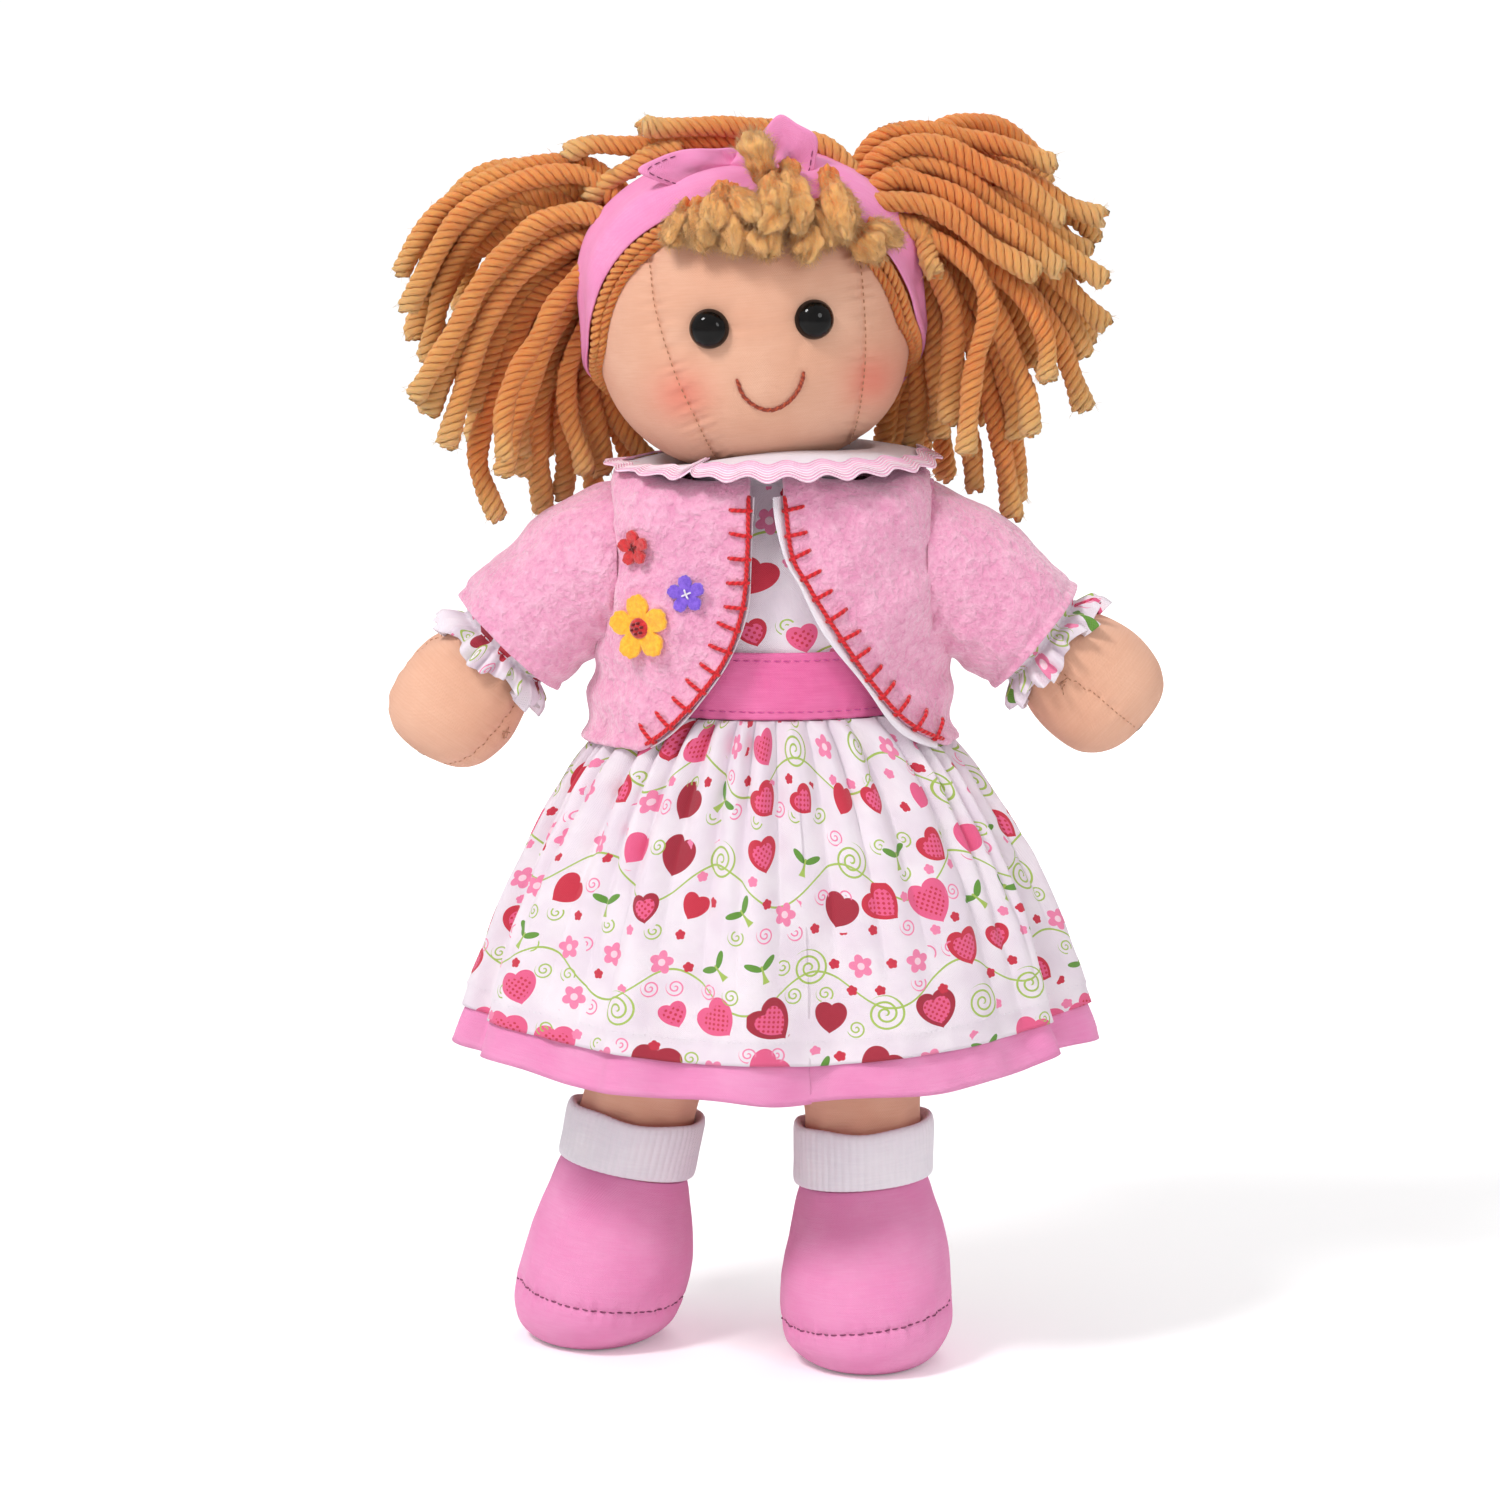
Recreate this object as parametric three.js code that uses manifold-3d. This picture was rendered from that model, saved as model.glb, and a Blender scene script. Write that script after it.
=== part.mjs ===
// A stuffed cloth rag doll with yarn bunches, a printed dress and a fleece cardigan.
// Millimetres, +Z up, and the doll faces -Y, so that its left side is at +X.
import * as THREE from "three";
import { mergeVertices } from "three/addons/utils/BufferGeometryUtils.js";
import Module from "manifold-3d";

const wasm = await Module();
wasm.setup();

// Clearance and thicknesses
const gap = 0.3;
const skin = 1;
const cotton = 1;
const fleece = 2.2;
const overrun = 200; // how far a cutting tool reaches past its piece

// Torso, standing on the hip seam
const hipHeight = 118;
const torsoLength = 111;
const torsoHalfWidth = 36.5;
const torsoHalfDepth = 23;
const neckRadius = 11.5;
const neckDepth = 6; // how far the neck's straight stem reaches into the head

// Head
const headHalfWidth = 41;
const headHalfDepth = 36;
const headHalfHeight = 38;
const headLift = 45; // from the neck's pivot to the head's centre
const headPower = 2.35; // 2 is an ellipse, more is squarer
const headAside = -1;
const headRollDegrees = -5;
const headYawDegrees = 3;
const eyeRadius = 5.1;
const eyeHeight = 4;
const eyeShank = 1.3;
const eyeSpacing = 27.2;
const eyeRise = 2.3; // above the head's centre
const eyeAside = 0.5; // the middle of the eyes, towards the doll's left
const washerRadius = 4.2;
const washerThickness = 1;
const mouthHalfWidth = 8.6;
const mouthDrop = 10.5; // its ends, below the head's centre
const mouthSag = 7.6;
const mouthAside = 1.5;
const mouthThread = 0.7;

// Hair, headband and bow
const capThickness = 5;
const capCrossing = -5; // height, from the head's centre, where the hairline passes the ears
const capLeanDegrees = 17;
const capNape = 30; // below the head's centre
const bandThickness = 1.2;
const bandSetback = 3;
const bandWidth = 10.5; // at the height of the bunches
const bandEnd = 12; // below the head's centre
const knotRadius = 5.5;
const knotFlatShare = 0.85; // its height over its width
const rightEar = { length: 31, halfWidth: 6.5, rise: -2 };
const leftEar = { length: 15, halfWidth: 6.5, rise: 14 };
const earHalfThickness = 2.2;
const earNeckShare = 0.3; // of its widest, where it leaves the knot
const earSwellShares = [0.08, 0.88]; // the part of a half wave that its width follows
const fringeHalfWidth = 24;
const fringeHeight = 31; // its root above the head's centre
const tuftLength = 15;
const tuftRadius = 4.4;
const tuftTipShare = 0.75;
const tuftBulgeShare = 0.4; // of its length, how far a tuft bows forward
const fringeRootShares = [-0.9, 1]; // of the fringe's half width
const rootRadius = 5;
const rootAside = 41.5;
const rootRise = 25;
const rootBack = 4;
const strandLength = 74;
const lockRadius = 8.6;
const lockRootShare = 0.62;
const lockSwellShare = 0.45; // of its length, where a lock reaches its full radius
const lockTipShare = 0.72;
const rootRoom = 3.2; // from a bunch's root to the headband

// Arms, from the shoulder seam to the tip of the hand
const shoulderRise = 100; // above the hip seam
const armSeam = 34.3; // from the middle of the torso
const armHoleRadius = 13.6;
const armTurnShare = 0.3; // of the arm's length, where its sections are square to it
const armBeyondShare = 1.2; // of the arm's length, well past the hand
const rightArm = { length: 84, startDegrees: 32, endDegrees: 62 };
const leftArm = { length: 83, startDegrees: 34, endDegrees: 43 };
const handHalfWidth = 17;
const handHalfDepth = 13;

// Legs, shoes and socks
const hipSpread = 22.5;
const hipRound = 3.5;
const legHalfWidth = 16;
const legHalfDepth = 15.5;
const rightLeg = { splay: 26, forward: -24, tiltDegrees: 12 };
const leftLeg = { splay: 3, forward: 2, tiltDegrees: 5 };
const shoeHeight = 46;
const shoeHalfWidth = 22.8;
const shoeHalfLength = 29;
const shoeToe = 9; // how far the shoe's middle lies in front of the ankle
const soleCut = 0.5;
const cuffHeight = 15.5;
const knit = 1.6;

// Dress
const waistHeight = 55; // the skirt's top above the hip seam
const waistbandHeight = 17;
const waistband = 1.2;
const skirtFall = 88; // at the front
const skirtLift = 9; // at the sides
const hemHalfWidth = 80;
const hemHalfDepth = 50;
const foldDepth = 3.2;
const underskirtFall = 10.5; // below the skirt's hem
const underskirtSpread = 4.5; // past the skirt's hem
const collarInner = 16.5;
const collarInnerFlat = 3; // the neckline's half depth is this much less
const collarHalfWidth = 43;
const collarHalfDepth = 31;
const collarRise = 1.7; // its neckline above the torso
const collarSideRise = 9; // its outer edge at the shoulders, above the torso
const collarFrontRise = 5;
const collarThickness = 1;
const notchHalfWidth = 2.2;
const notchAside = -11;
const trimWidth = 4;
const trimWave = 1.4;
const sleeveRadius = 15;

// Cardigan
const cardiganHalfWidth = 44;
const cardiganHalfDepth = 29;
const cardiganHem = 47; // above the hip seam
const sleeveSeam = 40.3; // from the middle of the torso
const sleeveShare = 0.56; // of the arm's length
const cardiganSideShare = 0.97; // of the half width, the furthest round the side that trim is sewn
const stitchThread = 0.8;
const stitchLength = 5.6;
const stitchPitch = 8.5;
const stitchEdgeShares = [0.03, 0.8]; // of an edge, where its stitching starts and ends
const barShare = 0.9; // a bar's thickness over the thread's
const felt = 1.4;
const bigPetal = 3.2;
const smallPetal = 2;
const redPetal = 1.8;
const flowerCentre = 2.6;
const petalCount = 5;
const petalReachShare = 1.45; // of a petal's radius, from the flower's middle
const flowerDomeShare = 0.5; // the flower centre's height over its radius

// Faces round each form
const bodySides = 16;
const limbSides = 12;
const foldCount = 12;
const sidesPerFold = 4;
const lockSides = 4;
const lockSteps = 5;
const tuftSteps = 3;
const collarSides = 30;
const socketSides = 10;
const threadSides = 4;
const petalSides = 8;

const colours = {
  skin: 0xe8b795,
  fill: 0xf4f1ea,
  pink: 0xee74b8,
  print: 0xf3e4ec,
  fleece: 0xf0a5d2,
  white: 0xf1eaf0,
  yarn: 0xe3964f,
  black: 0x14110f,
  red: 0xc8222a,
  yellow: 0xf6a81c,
  purple: 0x7c4fd0,
  trim: 0xf6b8d8,
};

const root = new THREE.Group();
const vec = (x, y, z) => new THREE.Vector3(x, y, z);
const radians = THREE.MathUtils.degToRad;
const mix = THREE.MathUtils.lerp;
const X = vec(1, 0, 0);
const Y = vec(0, 1, 0);
const Z = vec(0, 0, 1);
const range = (count) => Array.from({ length: count }, (_, k) => k);
const sides = [
  { name: "right", side: -1, arm: rightArm, leg: rightLeg, ear: rightEar },
  { name: "left", side: 1, arm: leftArm, leg: leftLeg, ear: leftEar },
];

function add(parent, name, geometry, colour, roughness = 0.9) {
  const material = new THREE.MeshStandardMaterial({ color: colours[colour], roughness, metalness: 0 });
  const mesh = new THREE.Mesh(geometry, material);
  mesh.name = name;
  parent.add(mesh);
  return mesh;
}

// A section of a form: its centre, its two half sizes and their directions
const section = (centre, a, b, across = X, along = Y) => ({ centre, a, b, across, along });

function ring(s, inset, count) {
  return range(count).map((k) => {
    const t = (2 * Math.PI * k) / count;
    return s.centre
      .clone()
      .addScaledVector(s.across, (s.a - inset) * Math.cos(t))
      .addScaledVector(s.along, (s.b - inset) * Math.sin(t));
  });
}

// Joins rings of equal counts into a closed solid, with capped ends or looped back to the first ring
function loft(rings, looped = false) {
  const count = rings[0].length;
  const points = rings.flat();
  const faces = [];
  for (const r of range(looped ? rings.length : rings.length - 1)) {
    const s = (r + 1) % rings.length;
    for (const k of range(count)) {
      const n = (k + 1) % count;
      const [a, b, c, d] = [r * count + k, r * count + n, s * count + n, s * count + k];
      faces.push(a, b, c, a, c, d);
    }
  }
  if (!looped) {
    const last = rings.length - 1;
    for (const k of range(count - 2)) {
      faces.push(0, k + 2, k + 1);
      faces.push(last * count, last * count + k + 1, last * count + k + 2);
    }
  }
  return closed(points, faces);
}

// A geometry whose faces are turned to point out
function closed(points, faces) {
  let volume = 0;
  for (let i = 0; i < faces.length; i += 3) {
    const [a, b, c] = [points[faces[i]], points[faces[i + 1]], points[faces[i + 2]]];
    volume += a.dot(b.clone().cross(c));
  }
  if (volume < 0) faces.reverse();
  const geometry = new THREE.BufferGeometry();
  geometry.setFromPoints(points);
  geometry.setIndex(faces);
  return geometry;
}

const outline = (sections, count, inset = 0) => sections.map((s) => ring(s, inset, count));
const solidOf = (sections, count, inset = 0) => loft(outline(sections, count, inset));

// Filling for a bag: its faces split the same way as the bag's inner wall
const fillOf = (sections, count, inset = 0) => loft(outline(sections, count, inset).reverse());

// A cloth bag: closed at its first section and open at its last
function bagOf(sections, thickness, count) {
  return loft([...outline(sections, count), ...outline(sections.slice(1), count, thickness).reverse()]);
}

// A cloth tube, open at both ends
function tubeOf(sections, thickness, count) {
  return loft([...outline(sections, count), ...outline(sections, count, thickness).reverse()], true);
}

function bareOf(geometry) {
  const bare = geometry.clone();
  bare.deleteAttribute("normal");
  bare.deleteAttribute("uv");
  return bare;
}

function manifoldOf(geometry) {
  const merged = mergeVertices(bareOf(geometry));
  const mesh = new wasm.Mesh({
    numProp: 3,
    vertProperties: merged.attributes.position.array,
    triVerts: new Uint32Array(merged.index.array),
  });
  return new wasm.Manifold(mesh);
}

// Turns a geometry's faces to point out
function outwards(geometry) {
  const bare = mergeVertices(bareOf(geometry));
  const position = bare.attributes.position;
  const points = range(position.count).map((i) => new THREE.Vector3().fromBufferAttribute(position, i));
  return closed(points, [...bare.index.array]);
}

function geometryOf(manifold) {
  const mesh = manifold.getMesh();
  const geometry = new THREE.BufferGeometry();
  geometry.setAttribute("position", new THREE.BufferAttribute(mesh.vertProperties, 3));
  geometry.setIndex(new THREE.BufferAttribute(mesh.triVerts, 1));
  return geometry;
}

const combine = (first, rest, way) =>
  geometryOf(rest.reduce((left, tool) => left[way](manifoldOf(tool)), manifoldOf(first)));
const cut = (piece, ...tools) => combine(piece, tools, "subtract");
const join = (piece, ...others) => combine(piece, others, "add");
const keep = (piece, ...tools) => combine(piece, tools, "intersect");

function block(low, high) {
  const size = high.clone().sub(low);
  const middle = low.clone().add(high).multiplyScalar(0.5);
  return new THREE.BoxGeometry(size.x, size.y, size.z).translate(middle.x, middle.y, middle.z);
}

// Everything past a plane square to X, towards the middle of the doll
function inwardBlock(side, x) {
  const near = side * x;
  const far = near - side * overrun;
  return block(vec(Math.min(near, far), -overrun, 0), vec(Math.max(near, far), overrun, overrun * 2));
}

// A faceted ball that clears a round one of the given radius
function socketOf(centre, radius, count, rows) {
  const facets = Math.cos(Math.PI / count) * Math.cos(Math.PI / (rows * 2));
  return new THREE.SphereGeometry((radius + gap) / facets, count, rows).translate(...centre);
}

function rod(from, to, radius, count) {
  const way = to.clone().sub(from);
  const middle = from.clone().add(to).multiplyScalar(0.5);
  return new THREE.CylinderGeometry(radius, radius, way.length(), count)
    .applyQuaternion(new THREE.Quaternion().setFromUnitVectors(Y, way.normalize()))
    .translate(middle.x, middle.y, middle.z);
}

// A strand along a curve: halfAt gives its two half sizes at each share of its length
function strand(curve, halfAt, steps, count, up = Y) {
  const sections = range(steps + 1).map((i) => {
    const tangent = curve.getTangent(i / steps);
    const across = up.clone().cross(tangent).normalize();
    const along = tangent.clone().cross(across).normalize();
    const [a, b] = halfAt(i / steps);
    return section(curve.getPoint(i / steps), a, b, across, along);
  });
  return solidOf(sections, count);
}

// Torso, as shares of its length, half width and half depth from the hip seam up
const torsoShares = [
  [0, 1, 0.12],
  [0.05, 1.04, 0.42],
  [0.13, 1.04, 0.76],
  [0.28, 1, 1],
  [0.47, 0.92, 0.98],
  [0.64, 0.92, 0.95],
  [0.8, 1, 0.92],
  [0.9, 1, 0.86],
  [0.96, 0.9, 0.76],
  [1, 0.6, 0.62],
];
const torsoTop = hipHeight + torsoLength;
const shoulderZ = hipHeight + shoulderRise;
const waistZ = hipHeight + waistHeight;
const shoulderStartShare = 0.85; // above this share cloth also lies on top of the shoulders

// Sections a given distance outside the torso
function overTorso(grow, fromZ = hipHeight) {
  const above = torsoShares.filter((row) => hipHeight + row[0] * torsoLength > fromZ + gap);
  const first = torsoRowAt((fromZ - hipHeight) / torsoLength);
  const rows = fromZ > hipHeight ? [first, ...above] : torsoShares;
  return rows.map(([up, wide, deep]) => {
    const top = Math.max(up - shoulderStartShare, 0) / (1 - shoulderStartShare);
    const centre = vec(0, 0, hipHeight + up * torsoLength + grow * top);
    return section(centre, wide * torsoHalfWidth + grow, deep * torsoHalfDepth + grow);
  });
}

function torsoRowAt(share) {
  const i = Math.max(torsoShares.findIndex((row) => row[0] >= share), 1);
  const [low, high] = [torsoShares[i - 1], torsoShares[i]];
  const t = (share - low[0]) / (high[0] - low[0]);
  return [share, mix(low[1], high[1], t), mix(low[2], high[2], t)];
}

const neckPivot = vec(headAside, 0, torsoTop);

function makeTorso() {
  const socket = socketOf(neckPivot, neckRadius, bodySides, socketSides);
  const sewn = sides.map(({ side }) => {
    const near = side * (armSeam - gap);
    const far = side * overrun;
    return block(
      vec(Math.min(near, far), -overrun, shoulderZ - armHoleRadius),
      vec(Math.max(near, far), overrun, shoulderZ + armHoleRadius)
    );
  });
  const inner = overTorso(-skin - gap).slice(1);
  inner[0].centre.z += gap;
  add(root, "torso_skin", cut(bagOf(overTorso(0), skin, bodySides), socket, ...sewn), "skin");
  const pulledIn = sides.map(({ side }, i) => sewn[i].clone().translate(-side * (skin + gap), 0, 0));
  add(root, "torso_stuffing", cut(fillOf(inner, bodySides), socket, ...pulledIn), "fill");
}

// Head, in frames that turn about the neck's pivot and about the head's centre
const headGroup = new THREE.Group();
headGroup.position.copy(neckPivot);
headGroup.rotation.set(0, radians(headRollDegrees), radians(headYawDegrees), "YXZ");
root.add(headGroup);
const head = new THREE.Group();
head.position.z = headLift;
headGroup.add(head);
const poleDegrees = 84;
const headRings = 9;

function headSections(grow, count = headRings) {
  const bend = 2 / headPower;
  return range(count).map((k) => {
    const t = radians(mix(poleDegrees, -poleDegrees, k / (count - 1)));
    const round = Math.cos(t) ** bend;
    const up = Math.sign(t) * Math.abs(Math.sin(t)) ** bend;
    const centre = vec(0, 0, up * (headHalfHeight + grow));
    return section(centre, round * (headHalfWidth + grow), round * (headHalfDepth + grow));
  });
}

// Where the front of a head grown by some distance lies, over a place on the face
function faceAt(x, z, grow = 0) {
  const high = Math.min(Math.abs(z / (headHalfHeight + grow)), 1) ** headPower;
  const round = (1 - high) ** (1 / headPower);
  const wide = Math.min(Math.abs(x) / ((headHalfWidth + grow) * round), 1);
  return -(headHalfDepth + grow) * round * Math.sqrt(1 - wide ** 2);
}

const neckTop = neckDepth - headHalfHeight; // from the head's centre

function makeNeck() {
  const ballSteps = 5;
  const ball = range(ballSteps).map((k) => {
    const t = radians(mix(-poleDegrees, 0, k / (ballSteps - 1)));
    return section(vec(0, 0, neckRadius * Math.sin(t)), neckRadius * Math.cos(t), neckRadius * Math.cos(t));
  });
  const top = section(vec(0, 0, headLift + neckTop), neckRadius, neckRadius);
  add(headGroup, "neck", solidOf([...ball, top], bodySides), "skin");
}

// The washer lies behind the face's surface, which falls back towards its far corner
const washerFront =
  skin +
  gap +
  faceAt(eyeAside + eyeSpacing / 2 + washerRadius, eyeRise + washerRadius) -
  faceAt(eyeAside + eyeSpacing / 2, eyeRise);
const eyeSeat = gap * 2; // the button's back, in front of the face's surface

function makeHead() {
  const eyeAt = (side, y) => vec(eyeAside + (side * eyeSpacing) / 2, y, eyeRise);
  const faceOf = (side) => faceAt(eyeAside + (side * eyeSpacing) / 2, eyeRise);
  const neckHole = rod(vec(0, 0, -overrun), vec(0, 0, neckTop + gap), neckRadius + gap, bodySides);
  const holes = sides.map(({ side }) =>
    rod(eyeAt(side, -overrun), eyeAt(side, 0), eyeShank + gap, limbSides)
  );
  const pocketDepth = washerFront + washerThickness + eyeShank + gap * 4;
  const pockets = sides.map(({ side }) =>
    rod(eyeAt(side, -overrun), eyeAt(side, faceOf(side) + pocketDepth), washerRadius + gap, limbSides)
  );
  const formOf = (grow) => solidOf(headSections(grow), bodySides);
  const [outer, inner, stuffing] = [0, -skin, -skin - gap].map(formOf);
  add(head, "head_skin", cut(outer, inner, neckHole, ...holes), "skin");
  add(head, "head_stuffing", cut(stuffing, neckHole, ...pockets), "fill");
  for (const { name, side } of sides) {
    makeEye(name, eyeAt(side, faceOf(side)));
  }
}

function makeEye(name, seat) {
  const domeSteps = 5;
  const dome = range(domeSteps + 1).map((k) => {
    const t = radians(mix(0, poleDegrees, k / domeSteps));
    const centre = seat.clone().add(vec(0, -eyeSeat - eyeHeight * Math.sin(t), 0));
    return section(centre, eyeRadius * Math.cos(t), eyeRadius * Math.cos(t), X, Z);
  });
  const back = washerFront + washerThickness;
  const shankFront = seat.clone().add(vec(0, -eyeSeat - eyeHeight / 2, 0));
  const shankEnd = seat.clone().add(vec(0, back + gap * 2, 0));
  const shank = rod(shankFront, shankEnd, eyeShank, limbSides);
  add(head, "eye_" + name, join(solidOf(dome, limbSides), shank), "black", 0.08);
  const washer = [washerFront + gap * 2, back + gap * 2].map((y) =>
    section(seat.clone().add(vec(0, y, 0)), washerRadius, washerRadius, X, Z)
  );
  const bore = washerRadius - eyeShank - gap / 2;
  add(head, "eye_washer_" + name, tubeOf(washer, bore, limbSides), "white", 0.5);
}

class MouthCurve extends THREE.Curve {
  getPoint(share) {
    const s = 2 * share - 1;
    const x = mouthAside + s * mouthHalfWidth;
    const z = -mouthDrop - mouthSag * (1 - s ** 2);
    return vec(x, faceAt(x, z) - mouthThread - gap * 2, z);
  }
}

function makeMouth() {
  const steps = 10;
  const half = () => [mouthThread, mouthThread];
  add(head, "mouth_thread", strand(new MouthCurve(), half, steps, threadSides), "red");
}

// A wedge in front of or behind a plane that leans about the ears
function leaning(degrees, setback, front) {
  const low = vec(-overrun, front ? -overrun * 2 : 0, -overrun);
  const high = vec(overrun, front ? 0 : overrun * 2, overrun);
  return block(low, high)
    .rotateX(radians(degrees))
    .translate(0, setback, capCrossing);
}

const rootAt = (side) => vec(side * rootAside, rootBack, rootRise);
const capGrow = gap + capThickness;

function makeCap() {
  const outer = solidOf(headSections(capGrow), bodySides);
  const inner = solidOf(headSections(gap), bodySides);
  const nape = block(vec(-overrun, -overrun, -overrun), vec(overrun, overrun, -capNape));
  const sockets = sides.map(({ side }) => socketOf(rootAt(side), rootRadius, socketSides, socketSides / 2));
  const hairline = leaning(capLeanDegrees, 0, true);
  add(head, "hair_cap", cut(outer, inner, hairline, nape, ...sockets), "yarn");
}

// The band's two edges meet below the ears, so it narrows downwards
function makeHeadband() {
  const outer = solidOf(headSections(capGrow + gap + bandThickness), bodySides);
  const inner = solidOf(headSections(capGrow + gap), bodySides);
  const spread = THREE.MathUtils.radToDeg(Math.atan(bandWidth / (rootRise + bandEnd)));
  const front = leaning(capLeanDegrees, bandSetback, true);
  const back = leaning(capLeanDegrees - spread, bandSetback, false);
  const below = block(vec(-overrun, -overrun, -overrun), vec(overrun, overrun, -bandEnd));
  const sockets = sides.map(({ side }) =>
    socketOf(rootAt(side), rootRadius + rootRoom, socketSides, socketSides / 2)
  );
  add(head, "headband", cut(outer, inner, front, back, below, ...sockets), "pink");
}

const knotZ = headHalfHeight + capGrow + bandThickness + gap;

// The knot sits on the band where it crosses the top of the head
function knotCentre() {
  const lean = Math.tan(radians(capLeanDegrees));
  const y = bandSetback - (knotZ - capCrossing) * lean;
  return vec(0, y, knotZ);
}

function makeBow() {
  const centre = knotCentre();
  const cap = solidOf(headSections(capGrow + bandThickness + gap * 2), bodySides);
  const ball = (radius) =>
    new THREE.IcosahedronGeometry(radius, 1).scale(1, 1, knotFlatShare).translate(...centre);
  add(head, "bow_knot", cut(ball(knotRadius), cap), "pink");
  const swell = (share) => mix(earNeckShare, 1, Math.sin(Math.PI * mix(...earSwellShares, share)));
  for (const { name, side, ear } of sides) {
    const start = centre.clone().add(vec((side * knotRadius) / 2, 0, knotRadius / 3));
    const end = centre.clone().add(vec(side * ear.length, -knotRadius / 2, ear.rise));
    const middle = start.clone().lerp(end, 0.5).add(vec(0, 0, knotRadius / 2));
    const curve = new THREE.QuadraticBezierCurve3(start, middle, end);
    const half = (share) => [ear.halfWidth * swell(share), earHalfThickness * swell(share)];
    const loop = strand(curve, half, lockSteps, limbSides, Z);
    add(head, "bow_ear_" + name, cut(loop, ball(knotRadius + gap), cap), "pink");
  }
}

// Tufts of the fringe: place across, lean across, reach down and reach out, as shares
const tuftShares = [
  [-0.9, -0.45, 0.55, 0.3],
  [-0.55, -0.25, 0.95, 0.45],
  [-0.15, -0.15, 0.75, 0.7],
  [0.15, 0.05, 1.1, 0.4],
  [0.5, 0.2, 0.9, 0.6],
  [0.9, 0.6, 0.7, 0.45],
  [-0.15, -0.1, -0.75, 0.5],
  [0.35, 0.3, -0.8, 0.4],
  [0.75, 0.6, -0.3, 0.6],
];

function makeFringe() {
  const rootY = (x) => faceAt(x, fringeHeight, gap) - tuftRadius;
  const tufts = tuftShares.map(([place, lean, down, out]) => {
    const x = place * fringeHalfWidth;
    const tipX = x + lean * tuftLength;
    const tipZ = fringeHeight - down * tuftLength;
    const start = vec(x, rootY(x), fringeHeight);
    const tipY = Math.min(faceAt(tipX, Math.min(tipZ, fringeHeight), gap), rootY(x)) - tuftRadius / 2;
    const tip = vec(tipX, tipY - (out * tuftRadius) / 2, tipZ);
    const middle = start.clone().lerp(tip, 0.5).add(vec(0, -out * tuftLength * tuftBulgeShare, 0));
    const curve = new THREE.QuadraticBezierCurve3(start, middle, tip);
    const half = (share) => tuftRadius * mix(1, tuftTipShare, share);
    return strand(curve, (share) => [half(share), half(share)], tuftSteps, lockSides, X);
  });
  const rootCount = 6;
  const roots = range(rootCount + 1).map((k) => {
    const x = mix(...fringeRootShares, k / rootCount) * fringeHalfWidth;
    return section(vec(x, rootY(x), fringeHeight), tuftRadius, tuftRadius, Y, Z);
  });
  const all = join(solidOf(roots, lockSides), ...tufts);
  const scalp = solidOf(headSections(gap), bodySides);
  const band = leaning(capLeanDegrees, -gap * 2, false);
  const cap = solidOf(headSections(capGrow + gap * 2 + bandThickness), bodySides);
  const behind = keep(cap, band);
  add(head, "fringe", cut(all, scalp, behind), "yarn");
}

// Locks of a bunch: degrees above level at the root, degrees back from the side, share of the length
const lockTable = [
  [72, 14, 1],
  [56, -14, 1],
  [48, 38, 1],
  [30, 6, 1.05],
  [18, 44, 1],
  [6, -4, 1],
  [-10, 28, 1.05],
  [-32, 44, 1],
  [-58, 54, 1],
];
const lockEndDegrees = 80; // below level

class LockCurve extends THREE.Curve {
  constructor(side, riseDegrees, backDegrees, length) {
    super();
    Object.assign(this, { side, length });
    this.start = radians(-riseDegrees);
    this.turn = radians(lockEndDegrees) - this.start;
    this.back = radians(backDegrees);
  }
  getPoint(share) {
    const angle = this.start + this.turn * share;
    const level = (this.length * (Math.sin(angle) - Math.sin(this.start))) / this.turn;
    const down = (this.length * (Math.cos(angle) - Math.cos(this.start))) / this.turn;
    const out = vec(this.side * level * Math.cos(this.back), level * Math.sin(this.back), down);
    return out.add(rootAt(this.side));
  }
}

function makeBunch(name, side) {
  const half = (share) => {
    const swell = mix(lockRootShare, 1, Math.min(share / lockSwellShare, 1));
    const taper = mix(1, lockTipShare, Math.max(share - lockSwellShare, 0) / (1 - lockSwellShare));
    return [lockRadius * swell * taper, lockRadius * swell * taper];
  };
  const locks = lockTable.map(([rise, back, share]) =>
    strand(new LockCurve(side, rise, back, strandLength * share), half, lockSteps, lockSides)
  );
  const centre = rootAt(side);
  const ball = new THREE.IcosahedronGeometry(rootRadius, 1).translate(...centre);
  const scalp = solidOf(headSections(capGrow + gap * 2 + bandThickness), bodySides);
  const bunch = cut(join(locks[0], ...locks.slice(1)), scalp);
  add(head, "bunch_" + name, join(ball, bunch), "yarn");
}

// Arms curve downwards from the shoulder seam: shares of length, half width and half depth from the tip
const armShares = [
  [1, 0.26, 0.26],
  [0.985, 0.54, 0.52],
  [0.95, 0.78, 0.76],
  [0.89, 0.94, 0.92],
  [0.8, 1, 1],
  [0.69, 0.92, 0.95],
  [0.58, 0.72, 0.84],
  [0.42, 0.74, 0.9],
  [0.22, 0.66, 0.82],
  [0.1, 0.5, 0.62],
  [0.02, 0.42, 0.48],
  [-0.06, 0.36, 0.4],
];

// A section across an arm, or across the sleeves round it
function acrossArm(side, arm, share, a, b) {
  const start = radians(arm.startDegrees);
  const turn = radians(arm.endDegrees) - start;
  const angle = start + turn * share;
  const out = armSeam + (arm.length * (Math.sin(angle) - Math.sin(start))) / turn;
  const down = (arm.length * (Math.cos(angle) - Math.cos(start))) / turn;
  const square = angle * THREE.MathUtils.smoothstep(share, 0, armTurnShare);
  const across = vec(side * Math.sin(square), 0, Math.cos(square));
  return section(vec(side * out, 0, shoulderZ + down), a, b, across, Y);
}

const armSections = (side, arm) =>
  armShares.map(([share, wide, deep]) =>
    acrossArm(side, arm, share, wide * handHalfWidth, deep * handHalfDepth)
  );

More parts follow.
